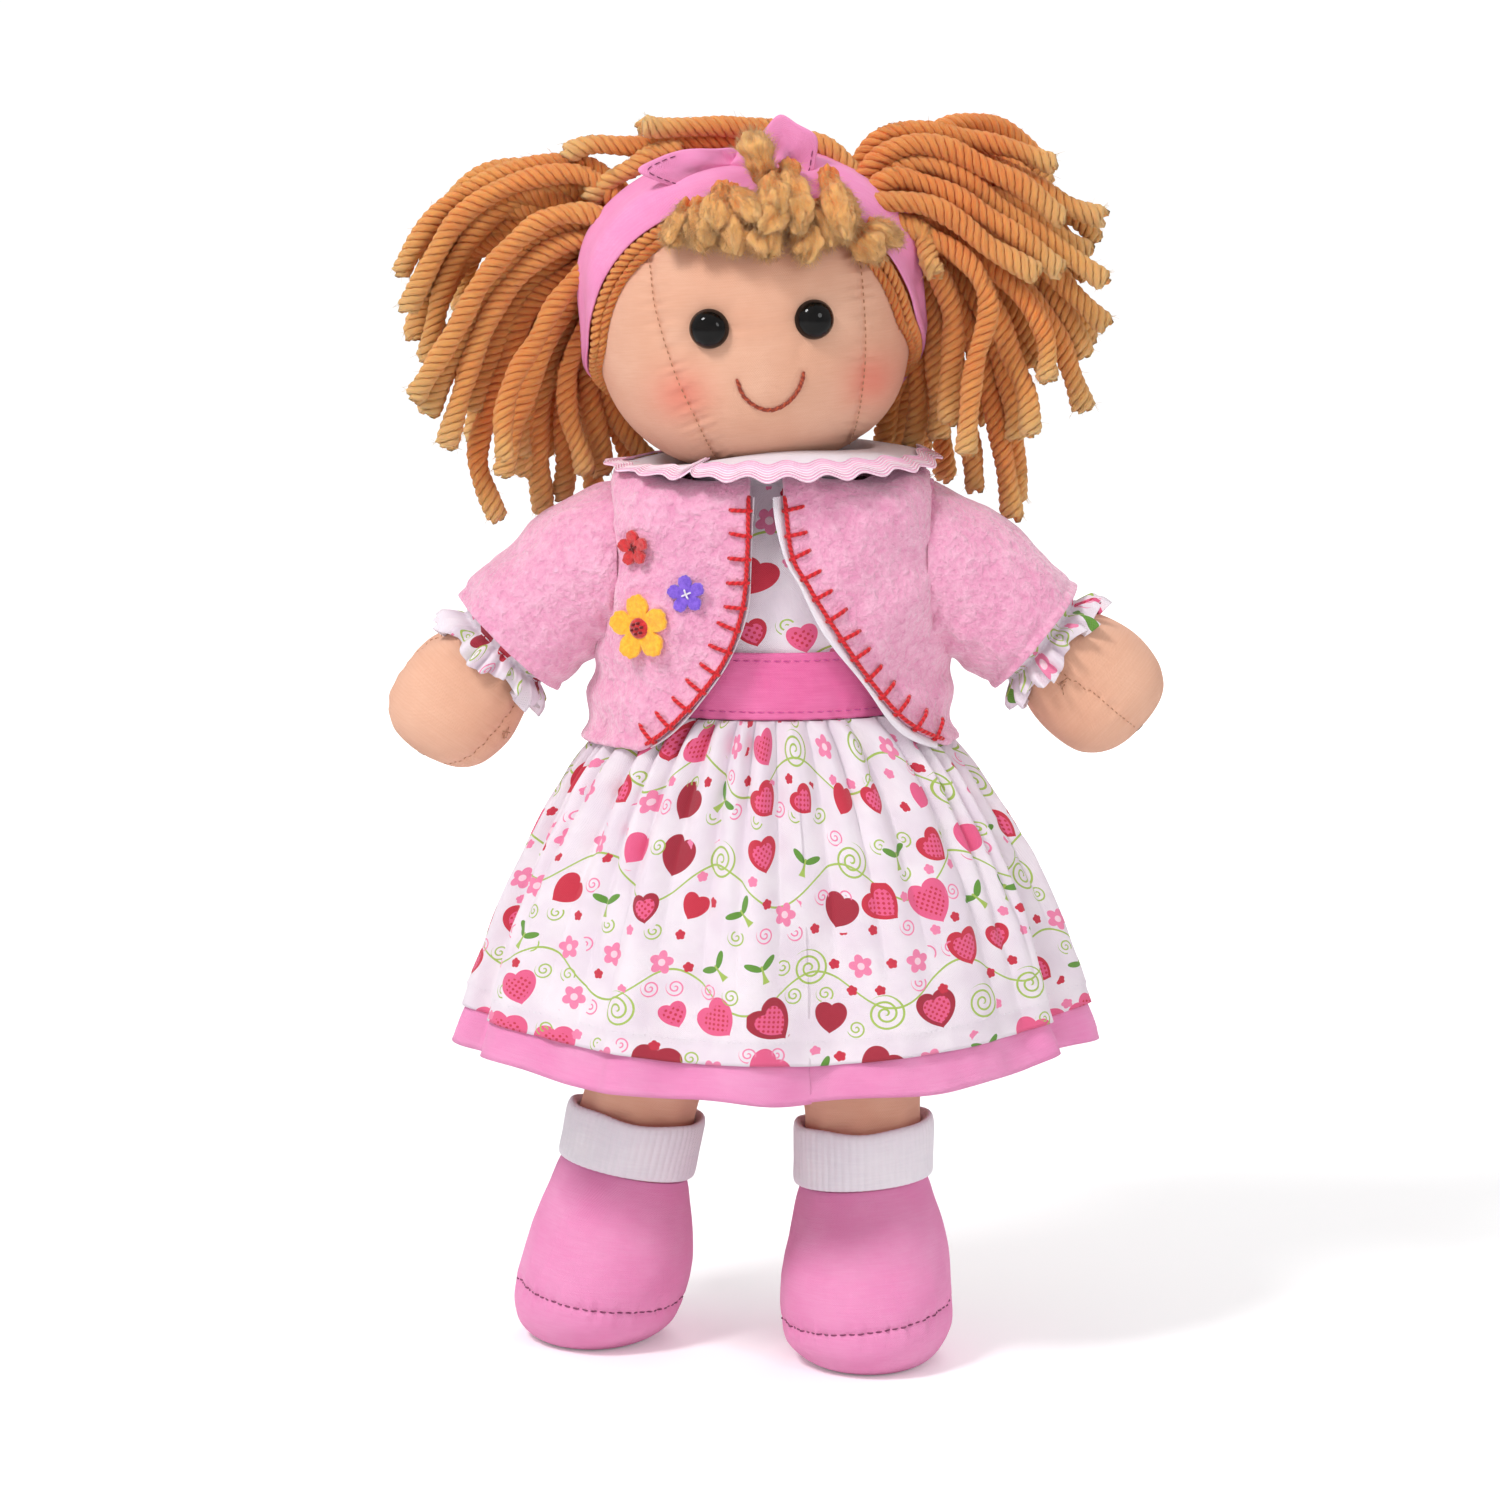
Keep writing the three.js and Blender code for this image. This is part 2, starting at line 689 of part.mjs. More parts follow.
function makeArm({ name, side, arm }) {
  const sections = armSections(side, arm);
  const inwards = inwardBlock(side, armSeam);
  add(root, "arm_skin_" + name, cut(bagOf(sections, skin, limbSides), inwards), "skin");
  const stuffing = fillOf(sections.slice(1), limbSides, skin + gap);
  const tip = acrossArm(side, arm, armShares[1][0] - gap / arm.length, handHalfWidth, handHalfWidth);
  const beyond = acrossArm(side, arm, armBeyondShare, handHalfWidth, handHalfWidth);
  const past = solidOf([tip, beyond], limbSides);
  add(root, "arm_stuffing_" + name, cut(stuffing, inwards, past), "fill");
}

// Dress sleeve, from the shoulder to its elastic and its frill: shares of the arm's length and of its radius
const dressSleeveShares = [
  [-0.05, 0.94],
  [0.1, 0.98],
  [0.3, 1],
  [0.5, 1],
  [0.58, 0.92],
  [0.62, 1.06],
  [0.675, 1.25],
];
const sleeveFlatShare = 0.94; // depth over width

function makeSleeves({ name, side, arm }) {
  const dress = dressSleeveShares.map(([share, wide]) =>
    acrossArm(side, arm, share, wide * sleeveRadius, wide * sleeveRadius * sleeveFlatShare)
  );
  const sleeve = cut(tubeOf(dress, cotton, limbSides), inwardBlock(side, sleeveSeam));
  add(root, "dress_sleeve_" + name, sleeve, "print");
  const coat = tubeOf(coatSleeveSections({ side, arm }), fleece, limbSides);
  const coatSleeve = cut(coat, inwardBlock(side, sleeveSeam));
  add(root, "cardigan_sleeve_" + name, coatSleeve, "fleece");
}

const cardiganSleeveShares = [
  [-0.08, 1.1],
  [0.15, 1.1],
  [0.4, 1.06],
  [0.7, 1.02],
  [1, 1],
];

function coatSleeveSections({ side, arm }) {
  const radius = sleeveRadius + gap + fleece;
  return cardiganSleeveShares.map(([share, wide]) =>
    acrossArm(side, arm, share * sleeveShare, wide * radius, wide * radius * sleeveFlatShare)
  );
}

// Legs: shares of the length from the hip's pivot to the shoe, then half width and half depth
const hipZ = hipHeight - hipRound - gap;
const legShares = [
  [0.045, 0.93, 0.225],
  [0.1, 0.93, 0.4],
  [0.2, 0.97, 0.72],
  [0.38, 1, 0.96],
  [0.6, 1, 1],
  [0.85, 1, 1],
  [1, 1, 1],
];
// Shoe: shares of its height, half width, half length, and place in front of the ankle
const shoeShares = [
  [0, 0.56, 0.62, 1],
  [0.05, 0.76, 0.82, 1],
  [0.15, 0.93, 0.95, 1],
  [0.33, 1, 1, 1],
  [0.53, 0.98, 0.92, 0.8],
  [0.72, 0.91, 0.77, 0.5],
  [0.88, 0.82, 0.64, 0.2],
  [1, 0.755, 0.56, 0],
];
const splayPower = 0.85;

// The middle of a leg and the tilt across it, at a height
function legAt(side, leg, z) {
  const share = Math.min(Math.max((hipZ - z) / hipZ, 0), 1);
  const middle = vec(side * (hipSpread + leg.splay * share ** splayPower), -leg.forward * share, z);
  const low = Math.min(z / shoeHeight, 1); // a sole is level
  const high = Math.min(share / (1 - shoeHeight / hipZ), 1); // and so is the hip seam
  const tilt = radians(leg.tiltDegrees) * low * high;
  return { middle, across: vec(Math.cos(tilt), 0, side * Math.sin(tilt)) };
}

function legSection(side, leg, z, a, b, ahead = 0) {
  const { middle, across } = legAt(side, leg, z);
  return section(middle.add(vec(0, -ahead, 0)), a, b, across, Y);
}

function makeLeg({ name, side, leg }) {
  const hipDegrees = [70, 0];
  const hip = hipDegrees.map((degrees) => {
    const t = radians(degrees);
    const wide = legHalfWidth * legShares[0][1];
    return legSection(side, leg, hipZ + hipRound * Math.sin(t), wide, hipRound * Math.cos(t));
  });
  const legEnd = shoeHeight;
  const thigh = legShares.map(([down, wide, deep]) => {
    const z = mix(hipZ, legEnd + gap, down);
    return legSection(side, leg, z, wide * legHalfWidth, deep * legHalfDepth);
  });
  const sections = [...hip, ...thigh];
  add(root, "leg_skin_" + name, bagOf(sections, skin, limbSides), "skin");
  const shoe = shoeShares.map(([up, wide, long, ahead]) => {
    const z = mix(-soleCut, shoeHeight, up);
    return legSection(side, leg, z, wide * shoeHalfWidth, long * shoeHalfLength, ahead * shoeToe);
  });
  const floor = block(vec(-overrun, -overrun, -overrun), vec(overrun, overrun, 0));
  add(root, "shoe_" + name, cut(bagOf(shoe, skin, limbSides), floor), "pink");
  const foot = shoe.slice(1, -1).reverse();
  const shoeRoom = foot.map((s) => ({ ...s, a: s.a - gap, b: s.b - gap }));
  const filled = [...sections.slice(hipDegrees.length), ...shoeRoom];
  const stuffing = filled.map((s) => ({ ...s, centre: s.centre.clone() }));
  stuffing[stuffing.length - 1].centre.z += gap;
  add(root, "leg_stuffing_" + name, fillOf(stuffing, limbSides, skin + gap), "fill");
  const cuffRoom = knit + gap;
  const cuff = [legEnd + gap, legEnd + cuffHeight / 2, legEnd + cuffHeight].map((z) =>
    legSection(side, leg, z + gap, legHalfWidth + cuffRoom, legHalfDepth + cuffRoom)
  );
  add(root, "sock_cuff_" + name, tubeOf(cuff, knit, limbSides), "white");
}

// Dress: a bodice on the torso, its waistband, and a skirt gathered into even folds
function makeBodice() {
  const outer = overTorso(gap + cotton, waistZ);
  const shell = loft(
    [...outline(outer, bodySides), ...outline(overTorso(gap, waistZ), bodySides).reverse()],
    true
  );
  const holes = rod(vec(-overrun, 0, shoulderZ), vec(overrun, 0, shoulderZ), armHoleRadius, bodySides);
  add(root, "bodice", cut(shell, holes), "print");
}

const bandZ = waistZ + gap;

function makeWaistband() {
  const clear = gap * 2 + cotton;
  const rows = [bandZ, bandZ + waistbandHeight / 2, bandZ + waistbandHeight].map((z) => {
    const [, wide, deep] = torsoRowAt((z - hipHeight) / torsoLength);
    return [z, wide * torsoHalfWidth + clear + waistband, deep * torsoHalfDepth + clear + waistband];
  });
  const sections = rows.map(([z, a, b]) => section(vec(0, 0, z), a, b));
  add(root, "waistband", tubeOf(sections, waistband, bodySides), "pink");
}

// Skirt rows: shares of the fall and of the flare
const skirtShares = [
  [0, 0],
  [0.09, 0.16],
  [0.3, 0.42],
  [0.62, 0.72],
  [1, 1],
];

function skirtRing(fall, flare, inset, drop, spread, folds) {
  const count = foldCount * sidesPerFold;
  const [, wide, deep] = torsoRowAt((waistZ - hipHeight) / torsoLength);
  const cloth = (gap + cotton) * 2 + gap;
  const topA = wide * torsoHalfWidth + cloth;
  const topB = deep * torsoHalfDepth + cloth;
  return range(count).map((k) => {
    const t = (2 * Math.PI * k) / count;
    const wave = folds * flare * foldDepth * Math.cos(t * foldCount);
    const a = mix(topA, hemHalfWidth + spread, flare) + wave - inset;
    const b = mix(topB, hemHalfDepth + spread, flare) + wave - inset;
    const lift = skirtLift * fall * Math.cos(t) ** 2;
    const z = waistZ - gap - (skirtFall + drop) * fall + lift;
    return vec(a * Math.cos(t), b * Math.sin(t), z);
  });
}

function makeSkirt() {
  const wall = (inset, drop, spread, folds) =>
    skirtShares.map(([fall, flare]) => skirtRing(fall, flare, inset, drop, spread, folds));
  const skirt = loft([...wall(0, 0, 0, 1), ...wall(cotton, 0, 0, 1).reverse()], true);
  const inside = cotton + gap * 2;
  // the underskirt's cone follows the skirt's own, past its hem
  const under = (inset) => {
    const past = 1 + underskirtFall / skirtFall;
    const rows = [...skirtShares, [past, 1 + underskirtSpread / (hemHalfWidth - torsoHalfWidth)]];
    return rows.map(([fall, flare]) => skirtRing(fall, flare, inside + inset, 0, 0, 1));
  };
  const underskirt = loft([...under(0), ...under(cotton).reverse()], true);
  add(root, "skirt", skirt, "print");
  add(root, "underskirt", underskirt, "pink");
}

const coatGrow = gap * 2 + cotton + fleece; // from the torso to the outside of the cardigan
const [, neckWideShare, neckDeepShare] = torsoShares.at(-1);
const crestGrow = coatGrow - fleece - gap;
const crestHalfWidth = neckWideShare * torsoHalfWidth + crestGrow;

// The collar runs from its neckline, over the cardigan's neckline, to its outer edge
function collarRing(stop, lift, wave = 0) {
  return range(collarSides).map((k) => {
    const t = (2 * Math.PI * k) / collarSides;
    const ripple = wave * Math.cos((t * collarSides) / 2);
    const rows = [
      [collarInner, collarInner - collarInnerFlat, collarRise],
      [crestHalfWidth, neckDeepShare * torsoHalfDepth + crestGrow, coatGrow + gap],
      [collarHalfWidth, collarHalfDepth, mix(collarFrontRise, collarSideRise, Math.cos(t) ** 2)],
    ];
    const low = rows[Math.min(Math.floor(stop), 1)];
    const high = rows[Math.min(Math.floor(stop), 1) + 1];
    const [a, b, rise] = low.map((v, i) => mix(v, high[i], stop - Math.min(Math.floor(stop), 1)));
    return vec((a + ripple) * Math.cos(t), (b + ripple) * Math.sin(t), torsoTop + rise + lift);
  });
}

const rimStop = 2; // the stop at the collar's outer edge

function makeCollar() {
  const outerRun = collarHalfWidth - crestHalfWidth;
  const edge = rimStop - trimWidth / outerRun;
  const flat = (stops, wave) => [
    ...stops.map((stop) => collarRing(stop, 0, stop === rimStop ? wave : 0)),
    ...stops.map((stop) => collarRing(stop, collarThickness, stop === rimStop ? wave : 0)).reverse(),
  ];
  const notch = block(
    vec(notchAside - notchHalfWidth, -overrun, 0),
    vec(notchAside + notchHalfWidth, -collarInner, torsoTop + collarSideRise * 2)
  );
  add(root, "collar", cut(loft(flat([0, 1, edge - gap / outerRun], 0), true), notch), "white");
  add(root, "collar_trim", cut(loft(flat([edge, rimStop], trimWave), true), notch), "trim");
}

// Cardigan body: shares of the height from its hem to the shoulder, half width and half depth
const cardiganShares = [
  [0, 1.12, 1.14],
  [0.3, 1.05, 1.05],
  [0.62, 1, 1],
  [0.8, 0.97, 0.95],
  [0.96, 0.95, 0.87],
  [1.045, 0.88, 0.75],
];
const cardiganZ = hipHeight + cardiganHem;

const shoulderShare = 0.8; // above this share the cloth lies over the shoulders

function cardiganSections(inset = 0) {
  const span = torsoTop - cardiganZ;
  const rows = cardiganShares.map(([up, wide, deep]) => {
    const lower = inset * Math.min(Math.max(up - shoulderShare, 0) / (1 - shoulderShare), 1);
    const centre = vec(0, 0, cardiganZ + up * span - lower);
    return section(centre, wide * cardiganHalfWidth - inset, deep * cardiganHalfDepth - inset);
  });
  return [...rows, ...overTorso(coatGrow - inset).slice(-1)];
}

// The front opening's two edges: shares of the half width and of the height above the hem
const rightEdgeShares = [
  [-0.8, 0],
  [-0.62, 0.08],
  [-0.43, 0.22],
  [-0.27, 0.38],
  [-0.17, 0.58],
  [-0.14, 0.8],
  [-0.13, 1.15],
];
const leftEdgeShares = [
  [1.08, 0],
  [0.8, 0.1],
  [0.58, 0.27],
  [0.36, 0.5],
  [0.2, 0.68],
  [0.1, 0.82],
  [0.05, 1.15],
];

function edgeCurve(shares) {
  const span = torsoTop - cardiganZ;
  const points = shares.map(([x, up]) => new THREE.Vector2(x * cardiganHalfWidth, cardiganZ + up * span));
  return new THREE.SplineCurve(points);
}

// What turns when an arm swings: a body of revolution about the shoulder's axis
function sleeveRoom(side) {
  const lowest = sides.flatMap((each) => coatSleeveSections(each)).map((s) => {
    const low = s.centre.clone().addScaledVector(s.across, -s.a);
    return shoulderZ - low.z - Math.max(Math.abs(low.x) - sleeveSeam, 0);
  });
  const armpit = Math.max(...lowest) + gap * 2;
  const profile = [
    [armSeam - gap, 0],
    [armSeam - gap, armHoleRadius],
    [sleeveSeam - gap, armHoleRadius],
    [sleeveSeam - gap, armpit],
    [sleeveSeam + armpit, armpit * 2],
    [sleeveSeam + armpit, 0],
  ].map(([x, r]) => new THREE.Vector2(r, x));
  const turned = new THREE.LatheGeometry(profile, collarSides).rotateZ((-side * Math.PI) / 2);
  return outwards(turned.translate(0, 0, shoulderZ));
}

function makeCardigan() {
  const edgePoints = 12;
  const below = cardiganZ - gap;
  const rightPoints = edgeCurve(rightEdgeShares).getPoints(edgePoints);
  const leftPoints = edgeCurve(leftEdgeShares).getPoints(edgePoints).reverse();
  const lowest = [
    new THREE.Vector2(leftPoints.at(-1).x, below - overrun),
    new THREE.Vector2(rightPoints[0].x, below - overrun),
  ];
  const shape = new THREE.Shape([...rightPoints, ...leftPoints, ...lowest]);
  const opening = new THREE.ExtrudeGeometry(shape, { depth: overrun, bevelEnabled: false })
    .rotateX(Math.PI / 2);
  const walls = [cardiganSections(), cardiganSections(fleece).reverse()];
  const shell = loft(walls.flatMap((wall) => outline(wall, collarSides)), true);
  const rooms = sides.map(({ side }) => sleeveRoom(side));
  add(root, "cardigan_body", cut(shell, opening, ...rooms), "fleece");
}

// Where the cardigan's front surface lies, with its outward direction
function cardiganFront(x, z) {
  const sections = cardiganSections();
  const i = Math.max(sections.findIndex((s) => s.centre.z >= z), 1);
  const [low, high] = [sections[i - 1], sections[i]];
  const t = THREE.MathUtils.clamp((z - low.centre.z) / (high.centre.z - low.centre.z), 0, 1);
  const a = mix(low.a, high.a, t);
  const b = mix(low.b, high.b, t);
  const share = Math.min(Math.abs(x) / a, cardiganSideShare);
  const y = -b * Math.sqrt(1 - share ** 2);
  return { point: vec(x, y, z), out: vec(x / a ** 2, y / b ** 2, 0).normalize() };
}

// Blanket stitch: a thread along the edge and a bar across it at each stitch
function makeStitching(name, shares, inwardsX) {
  const curve = edgeCurve(shares);
  const off = stitchThread + gap;
  const onCloth = (p, inset) => {
    const { point, out } = cardiganFront(p.x, p.y);
    return point.addScaledVector(out, off + inset);
  };
  const steps = 12;
  const at = (share, away) => {
    const t = mix(...stitchEdgeShares, share);
    const p = curve.getPoint(t);
    const tangent = curve.getTangent(t);
    const normal = new THREE.Vector2(-tangent.y, tangent.x).multiplyScalar(inwardsX * away);
    return p.add(normal);
  };
  const spineAway = stitchThread * 2;
  const spinePoints = range(steps + 1).map((i) => onCloth(at(i / steps, spineAway), 0));
  const spine = strand(
    new THREE.CatmullRomCurve3(spinePoints),
    () => [stitchThread, stitchThread],
    steps,
    threadSides
  );
  const [first, last] = stitchEdgeShares;
  const count = Math.floor((curve.getLength() * (last - first)) / stitchPitch);
  const bars = range(count + 1).map((i) => {
    const from = onCloth(at(i / count, spineAway), 0);
    const to = onCloth(at(i / count, stitchLength), 0);
    return rod(from, to, stitchThread * barShare, threadSides);
  });
  add(root, "blanket_stitch_" + name, join(spine, ...bars), "red");
}

// Felt flowers with five round petals: shares of the cardigan's half width and of its height
const flowerTable = [
  { name: "flower_yellow", x: -0.745, up: 0.46, petal: bigPetal, colour: "yellow" },
  { name: "flower_purple", x: -0.5, up: 0.6, petal: smallPetal, colour: "purple" },
  { name: "flower_red", x: -0.74, up: 0.77, petal: redPetal, colour: "red" },
];

function flowerShape(petal) {
  const middle = petal * petalReachShare;
  const petals = range(petalCount).map((k) => {
    const t = (2 * Math.PI * k) / petalCount + Math.PI / 2;
    return new THREE.CylinderGeometry(petal, petal, felt, petalSides)
      .rotateX(Math.PI / 2)
      .translate(middle * Math.cos(t), middle * Math.sin(t), 0);
  });
  const disc = new THREE.CylinderGeometry(petal, petal, felt, petalSides).rotateX(Math.PI / 2);
  return join(disc, ...petals);
}

function place(mesh, x, z, off) {
  const { point, out } = cardiganFront(x, z);
  mesh.position.copy(point.addScaledVector(out, off));
  mesh.quaternion.setFromUnitVectors(Z, out);
}

function makeFlowers() {
  const span = torsoTop - cardiganZ;
  for (const { name, x, up, petal, colour } of flowerTable) {
    const mesh = add(root, name, flowerShape(petal), colour);
    place(mesh, x * cardiganHalfWidth, cardiganZ + up * span, felt / 2 + gap * 3);
    if (petal === bigPetal) {
      const ball = new THREE.SphereGeometry(flowerCentre, petalSides, petalSides / 2);
      const dome = ball.scale(1, 1, flowerDomeShare);
      const button = cut(dome, block(vec(-overrun, -overrun, -overrun), vec(overrun, overrun, 0)));
      const placed = add(root, "flower_centre", button, "red");
      place(placed, x * cardiganHalfWidth, cardiganZ + up * span, felt + gap * 4);
    }
  }
}

makeTorso();
makeNeck();
makeHead();
makeMouth();
makeCap();
makeHeadband();
makeBow();
makeFringe();
for (const each of sides) {
  makeBunch(each.name, each.side);
  makeArm(each);
  makeSleeves(each);
  makeLeg(each);
}
makeBodice();
makeWaistband();
makeSkirt();
makeCollar();
makeCardigan();
makeStitching("right", rightEdgeShares, 1);
makeStitching("left", leftEdgeShares, -1);
makeFlowers();

// The origin is under the middle of the whole doll
root.updateMatrixWorld(true);
const bounds = new THREE.Box3().setFromObject(root, true);
root.position.x -= (bounds.min.x + bounds.max.x) / 2;
root.position.y -= (bounds.min.y + bounds.max.y) / 2;

export default root;
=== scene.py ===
"""A stuffed rag doll with yarn bunches, a printed dress and a fleece cardigan, dressed over its frame."""

import math

import bpy
import numpy as np
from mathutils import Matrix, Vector


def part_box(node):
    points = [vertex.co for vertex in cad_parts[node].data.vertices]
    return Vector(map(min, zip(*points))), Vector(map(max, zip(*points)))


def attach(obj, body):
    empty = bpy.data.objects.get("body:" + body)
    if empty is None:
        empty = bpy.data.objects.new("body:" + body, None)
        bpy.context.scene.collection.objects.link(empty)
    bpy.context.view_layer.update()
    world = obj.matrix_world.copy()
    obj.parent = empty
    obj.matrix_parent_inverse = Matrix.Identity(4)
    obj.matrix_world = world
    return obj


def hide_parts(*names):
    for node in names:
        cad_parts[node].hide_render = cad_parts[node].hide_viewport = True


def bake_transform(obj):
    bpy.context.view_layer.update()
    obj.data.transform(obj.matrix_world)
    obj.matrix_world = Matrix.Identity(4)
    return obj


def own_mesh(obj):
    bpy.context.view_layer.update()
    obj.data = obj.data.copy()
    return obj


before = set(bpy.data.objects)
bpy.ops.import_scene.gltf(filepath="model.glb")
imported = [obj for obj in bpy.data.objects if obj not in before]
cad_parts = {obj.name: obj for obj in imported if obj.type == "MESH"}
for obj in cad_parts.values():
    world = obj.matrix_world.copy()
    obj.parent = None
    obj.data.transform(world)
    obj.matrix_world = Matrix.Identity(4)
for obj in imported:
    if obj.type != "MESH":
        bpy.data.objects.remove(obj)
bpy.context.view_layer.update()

rng = np.random.default_rng(11)
bpy.context.scene.view_settings.view_transform = "Standard"

# Lengths are millimetres in the doll's own frame: +Z up, facing -Y, with x = 0 at the middle of its torso
MM = 0.001
TURN = 2 * math.pi
torso_low, torso_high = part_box("torso_skin")
ORIGIN = np.array([(torso_low.x + torso_high.x) / 2, (torso_low.y + torso_high.y) / 2, 0]) / MM
HIP = torso_low.z / MM
NECK = 229.0
TORSO = NECK - HIP
SIDES = (("right", -1), ("left", 1))
X, Y, Z = np.eye(3)


# Numbers and points

def unit(v):
    return v / np.maximum(np.linalg.norm(v, axis=-1, keepdims=True), 1e-12)


def mix(a, b, t):
    return a + (b - a) * t


def smoothstep(low, high, x):
    t = np.clip((x - low) / (high - low), 0, 1)
    return t * t * (3 - 2 * t)


def bell(x, width):
    """1 in the middle, falling away to both sides."""
    return np.exp(-((x / width) ** 2))


def circle(count):
    """Even angles round a turn."""
    return TURN * np.arange(count) / count


def steps_of(rows):
    """How far each row of points is from the one before."""
    return np.linalg.norm(np.diff(rows, axis=0), axis=-1)


def distances(points):
    """How far along a line each of its points is."""
    return np.concatenate([[0], np.cumsum(steps_of(points))])


def looped(row):
    """A ring's points with the first again at the end."""
    return np.concatenate([row, row[:1]])


def spline(rows, count):
    """Even steps along a Catmull-Rom curve through rows of values."""
    rows = np.asarray(rows, float)
    t = np.linspace(0, len(rows) - 1, count)
    i = np.minimum(t.astype(int), len(rows) - 2)
    f = (t - i)[:, None]
    a, b, c, d = (rows[np.clip(i + k, 0, len(rows) - 1)] for k in (-1, 0, 1, 2))
    return 0.5 * (2 * b + (c - a) * f + (2 * a - 5 * b + 4 * c - d) * f**2 + (3 * b - a - 3 * c + d) * f**3)


def even(points, step):
    """Points a step apart along a line."""
    points = np.asarray(points, float)
    along = distances(points)
    count = max(int(along[-1] / step), 2)
    at = np.linspace(0, along[-1], count + 1)
    return np.stack([np.interp(at, along, points[:, k]) for k in range(3)], 1)


def ripple(points, size, count=14):
    """Smooth random waves of about a size, from -1 to 1, over any points."""
    waves = unit(rng.normal(size=(count, 3))) * (TURN / size) * rng.uniform(0.6, 1.4, (count, 1))
    phase = rng.uniform(0, TURN, count)
    return np.sin(points @ waves.T + phase).sum(-1) / math.sqrt(count) / 1.6


def rotation(angle, first, second):
    """A turn from one axis towards another."""
    made = np.eye(3)
    made[first, first] = made[second, second] = math.cos(angle)
    made[second, first] = math.sin(angle)
    made[first, second] = -math.sin(angle)
    return made


def frames_along(points):
    """Unit vectors along and across a line, which turn as little as they can."""
    along = unit(np.gradient(points, axis=0))
    side = np.empty_like(along)
    start = np.cross(along[0], Z if abs(along[0][2]) < 0.9 else X)
    side[0] = unit(start)
    for i in range(1, len(points)):
        side[i] = unit(side[i - 1] - along[i] * (side[i - 1] @ along[i]))
    return along, side, np.cross(along, side)


def normals_of(points, wrap):
    """Outward directions of a grid of points whose rows climb and whose columns run anticlockwise."""
    if wrap:
        across = np.roll(points, -1, 1) - np.roll(points, 1, 1)
    else:
        across = np.gradient(points, axis=1)
    return unit(np.cross(across, np.gradient(points, axis=0)))


def spokes(t, side, up):
    """Directions round each point of a line at some angles."""
    return np.cos(t)[:, None] * side[:, None] + np.sin(t)[:, None] * up[:, None]


CLOSED = {"wrap": True, "caps": (True, True)}


class Pile:
    """Points, faces and texture places, gathered into one mesh."""

    def __init__(self):
        self.points, self.faces, self.places, self.tones, self.count = [], [], [], [], 0

    def add(self, points, faces, places, tone=0.0):
        self.points.append(np.asarray(points, float).reshape(-1, 3))
        self.tones.append(np.broadcast_to(tone, len(self.points[-1])))
        self.faces.append(faces + self.count)
        self.places.append(places)
        self.count += len(self.points[-1])

    def grid(self, points, u=None, v=None, wrap=False, flip=False, caps=(False, False), tone=0.0):
        """A sheet of points in rows. u and v are places in millimetres, one column more where it wraps.
        tone is how pale the rows, or the points, are."""
        rows, cols = points.shape[:2]
        extra = 1 if wrap else 0
        if u is None:
            ring = np.linalg.norm(np.roll(points, -1, 1) - points, axis=2)
            width = ring[:, : cols - 1 + extra].sum(1).mean()
            u = np.broadcast_to(np.linspace(0, width, cols + extra), (rows, cols + extra))
        if v is None:
            fall = steps_of(points).mean(1)
            v = np.broadcast_to(np.concatenate([[0], np.cumsum(fall)])[:, None], (rows, cols + extra))
        cells = np.meshgrid(np.arange(rows - 1), np.arange(cols - 1 + extra), indexing="ij")
        r, c = (a.ravel() for a in cells)
        row = np.stack([r, r, r + 1, r + 1], 1)
        col = np.stack([c, c + 1, c + 1, c], 1)
        if flip:
            row, col = row[:, ::-1], col[:, ::-1]
        tone = np.broadcast_to(np.reshape(tone, (-1, 1)) if np.ndim(tone) < 2 else tone, (rows, cols))
        self.add(points, row * cols + col % cols, np.stack([u[row, col], v[row, col]], 2), tone.ravel())
        start = self.count - rows * cols
        for first, closed in zip((True, False), caps):
            if closed:
                at = 0 if first else rows - 1
                c = np.arange(cols)
                fan = np.stack([c, (c + 1) % cols, np.full(cols, cols)], 1)
                if first != flip:
                    fan = fan[:, ::-1]
                middle = points[at].mean(0)
                ids = np.concatenate([start + at * cols + c, [self.count]])
                self.points.append(middle[None])
                self.tones.append(tone[at].max(keepdims=True))
                self.faces.append(ids[fan])
                self.places.append(np.stack([a[at, np.minimum(fan, cols - 1)] for a in (u, v)], 2))
                self.count += 1
        return self

    def mesh(self, name):
        mesh = bpy.data.meshes.new(name)
        points = (np.concatenate(self.points) + ORIGIN) * MM
        loops = np.concatenate([f.ravel() for f in self.faces])
        sizes = np.concatenate([np.full(len(f), f.shape[1]) for f in self.faces])
        mesh.vertices.add(len(points))
        mesh.vertices.foreach_set("co", points.astype(np.float32).ravel())
        mesh.loops.add(len(loops))
        mesh.loops.foreach_set("vertex_index", loops.astype(np.int32))
        mesh.polygons.add(len(sizes))
        starts = np.concatenate([[0], np.cumsum(sizes)[:-1]])
        mesh.polygons.foreach_set("loop_start", starts.astype(np.int32))
        mesh.polygons.foreach_set("use_smooth", np.ones(len(sizes), bool))
        mesh.update(calc_edges=True)
        places = np.concatenate([p.reshape(-1, 2) for p in self.places])
        mesh.uv_layers.new(name="Cloth").data.foreach_set("uv", places.astype(np.float32).ravel())
        return mesh


def show(name, pile, material, body, nodes=(), thick=None, levels=0):
    """Makes a piece that rides on a body and stands for some nodes."""
    piece = bpy.data.objects.new(name, pile.mesh(name))
    bpy.context.scene.collection.objects.link(piece)
    piece.data.materials.append(material)
    tones = np.concatenate(pile.tones)
    if tones.any():
        mark(piece, "pale", tones)
    if thick:
        wall = piece.modifiers.new("thickness", "SOLIDIFY")
        wall.thickness, wall.offset, wall.use_even_offset = thick * MM, -1, False
    if levels:
        piece.modifiers.new("smoothing", "SUBSURF").levels = levels
        piece.modifiers["smoothing"].render_levels = levels
    if body:
        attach(piece, body)
    if nodes:
        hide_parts(*nodes)
    return piece


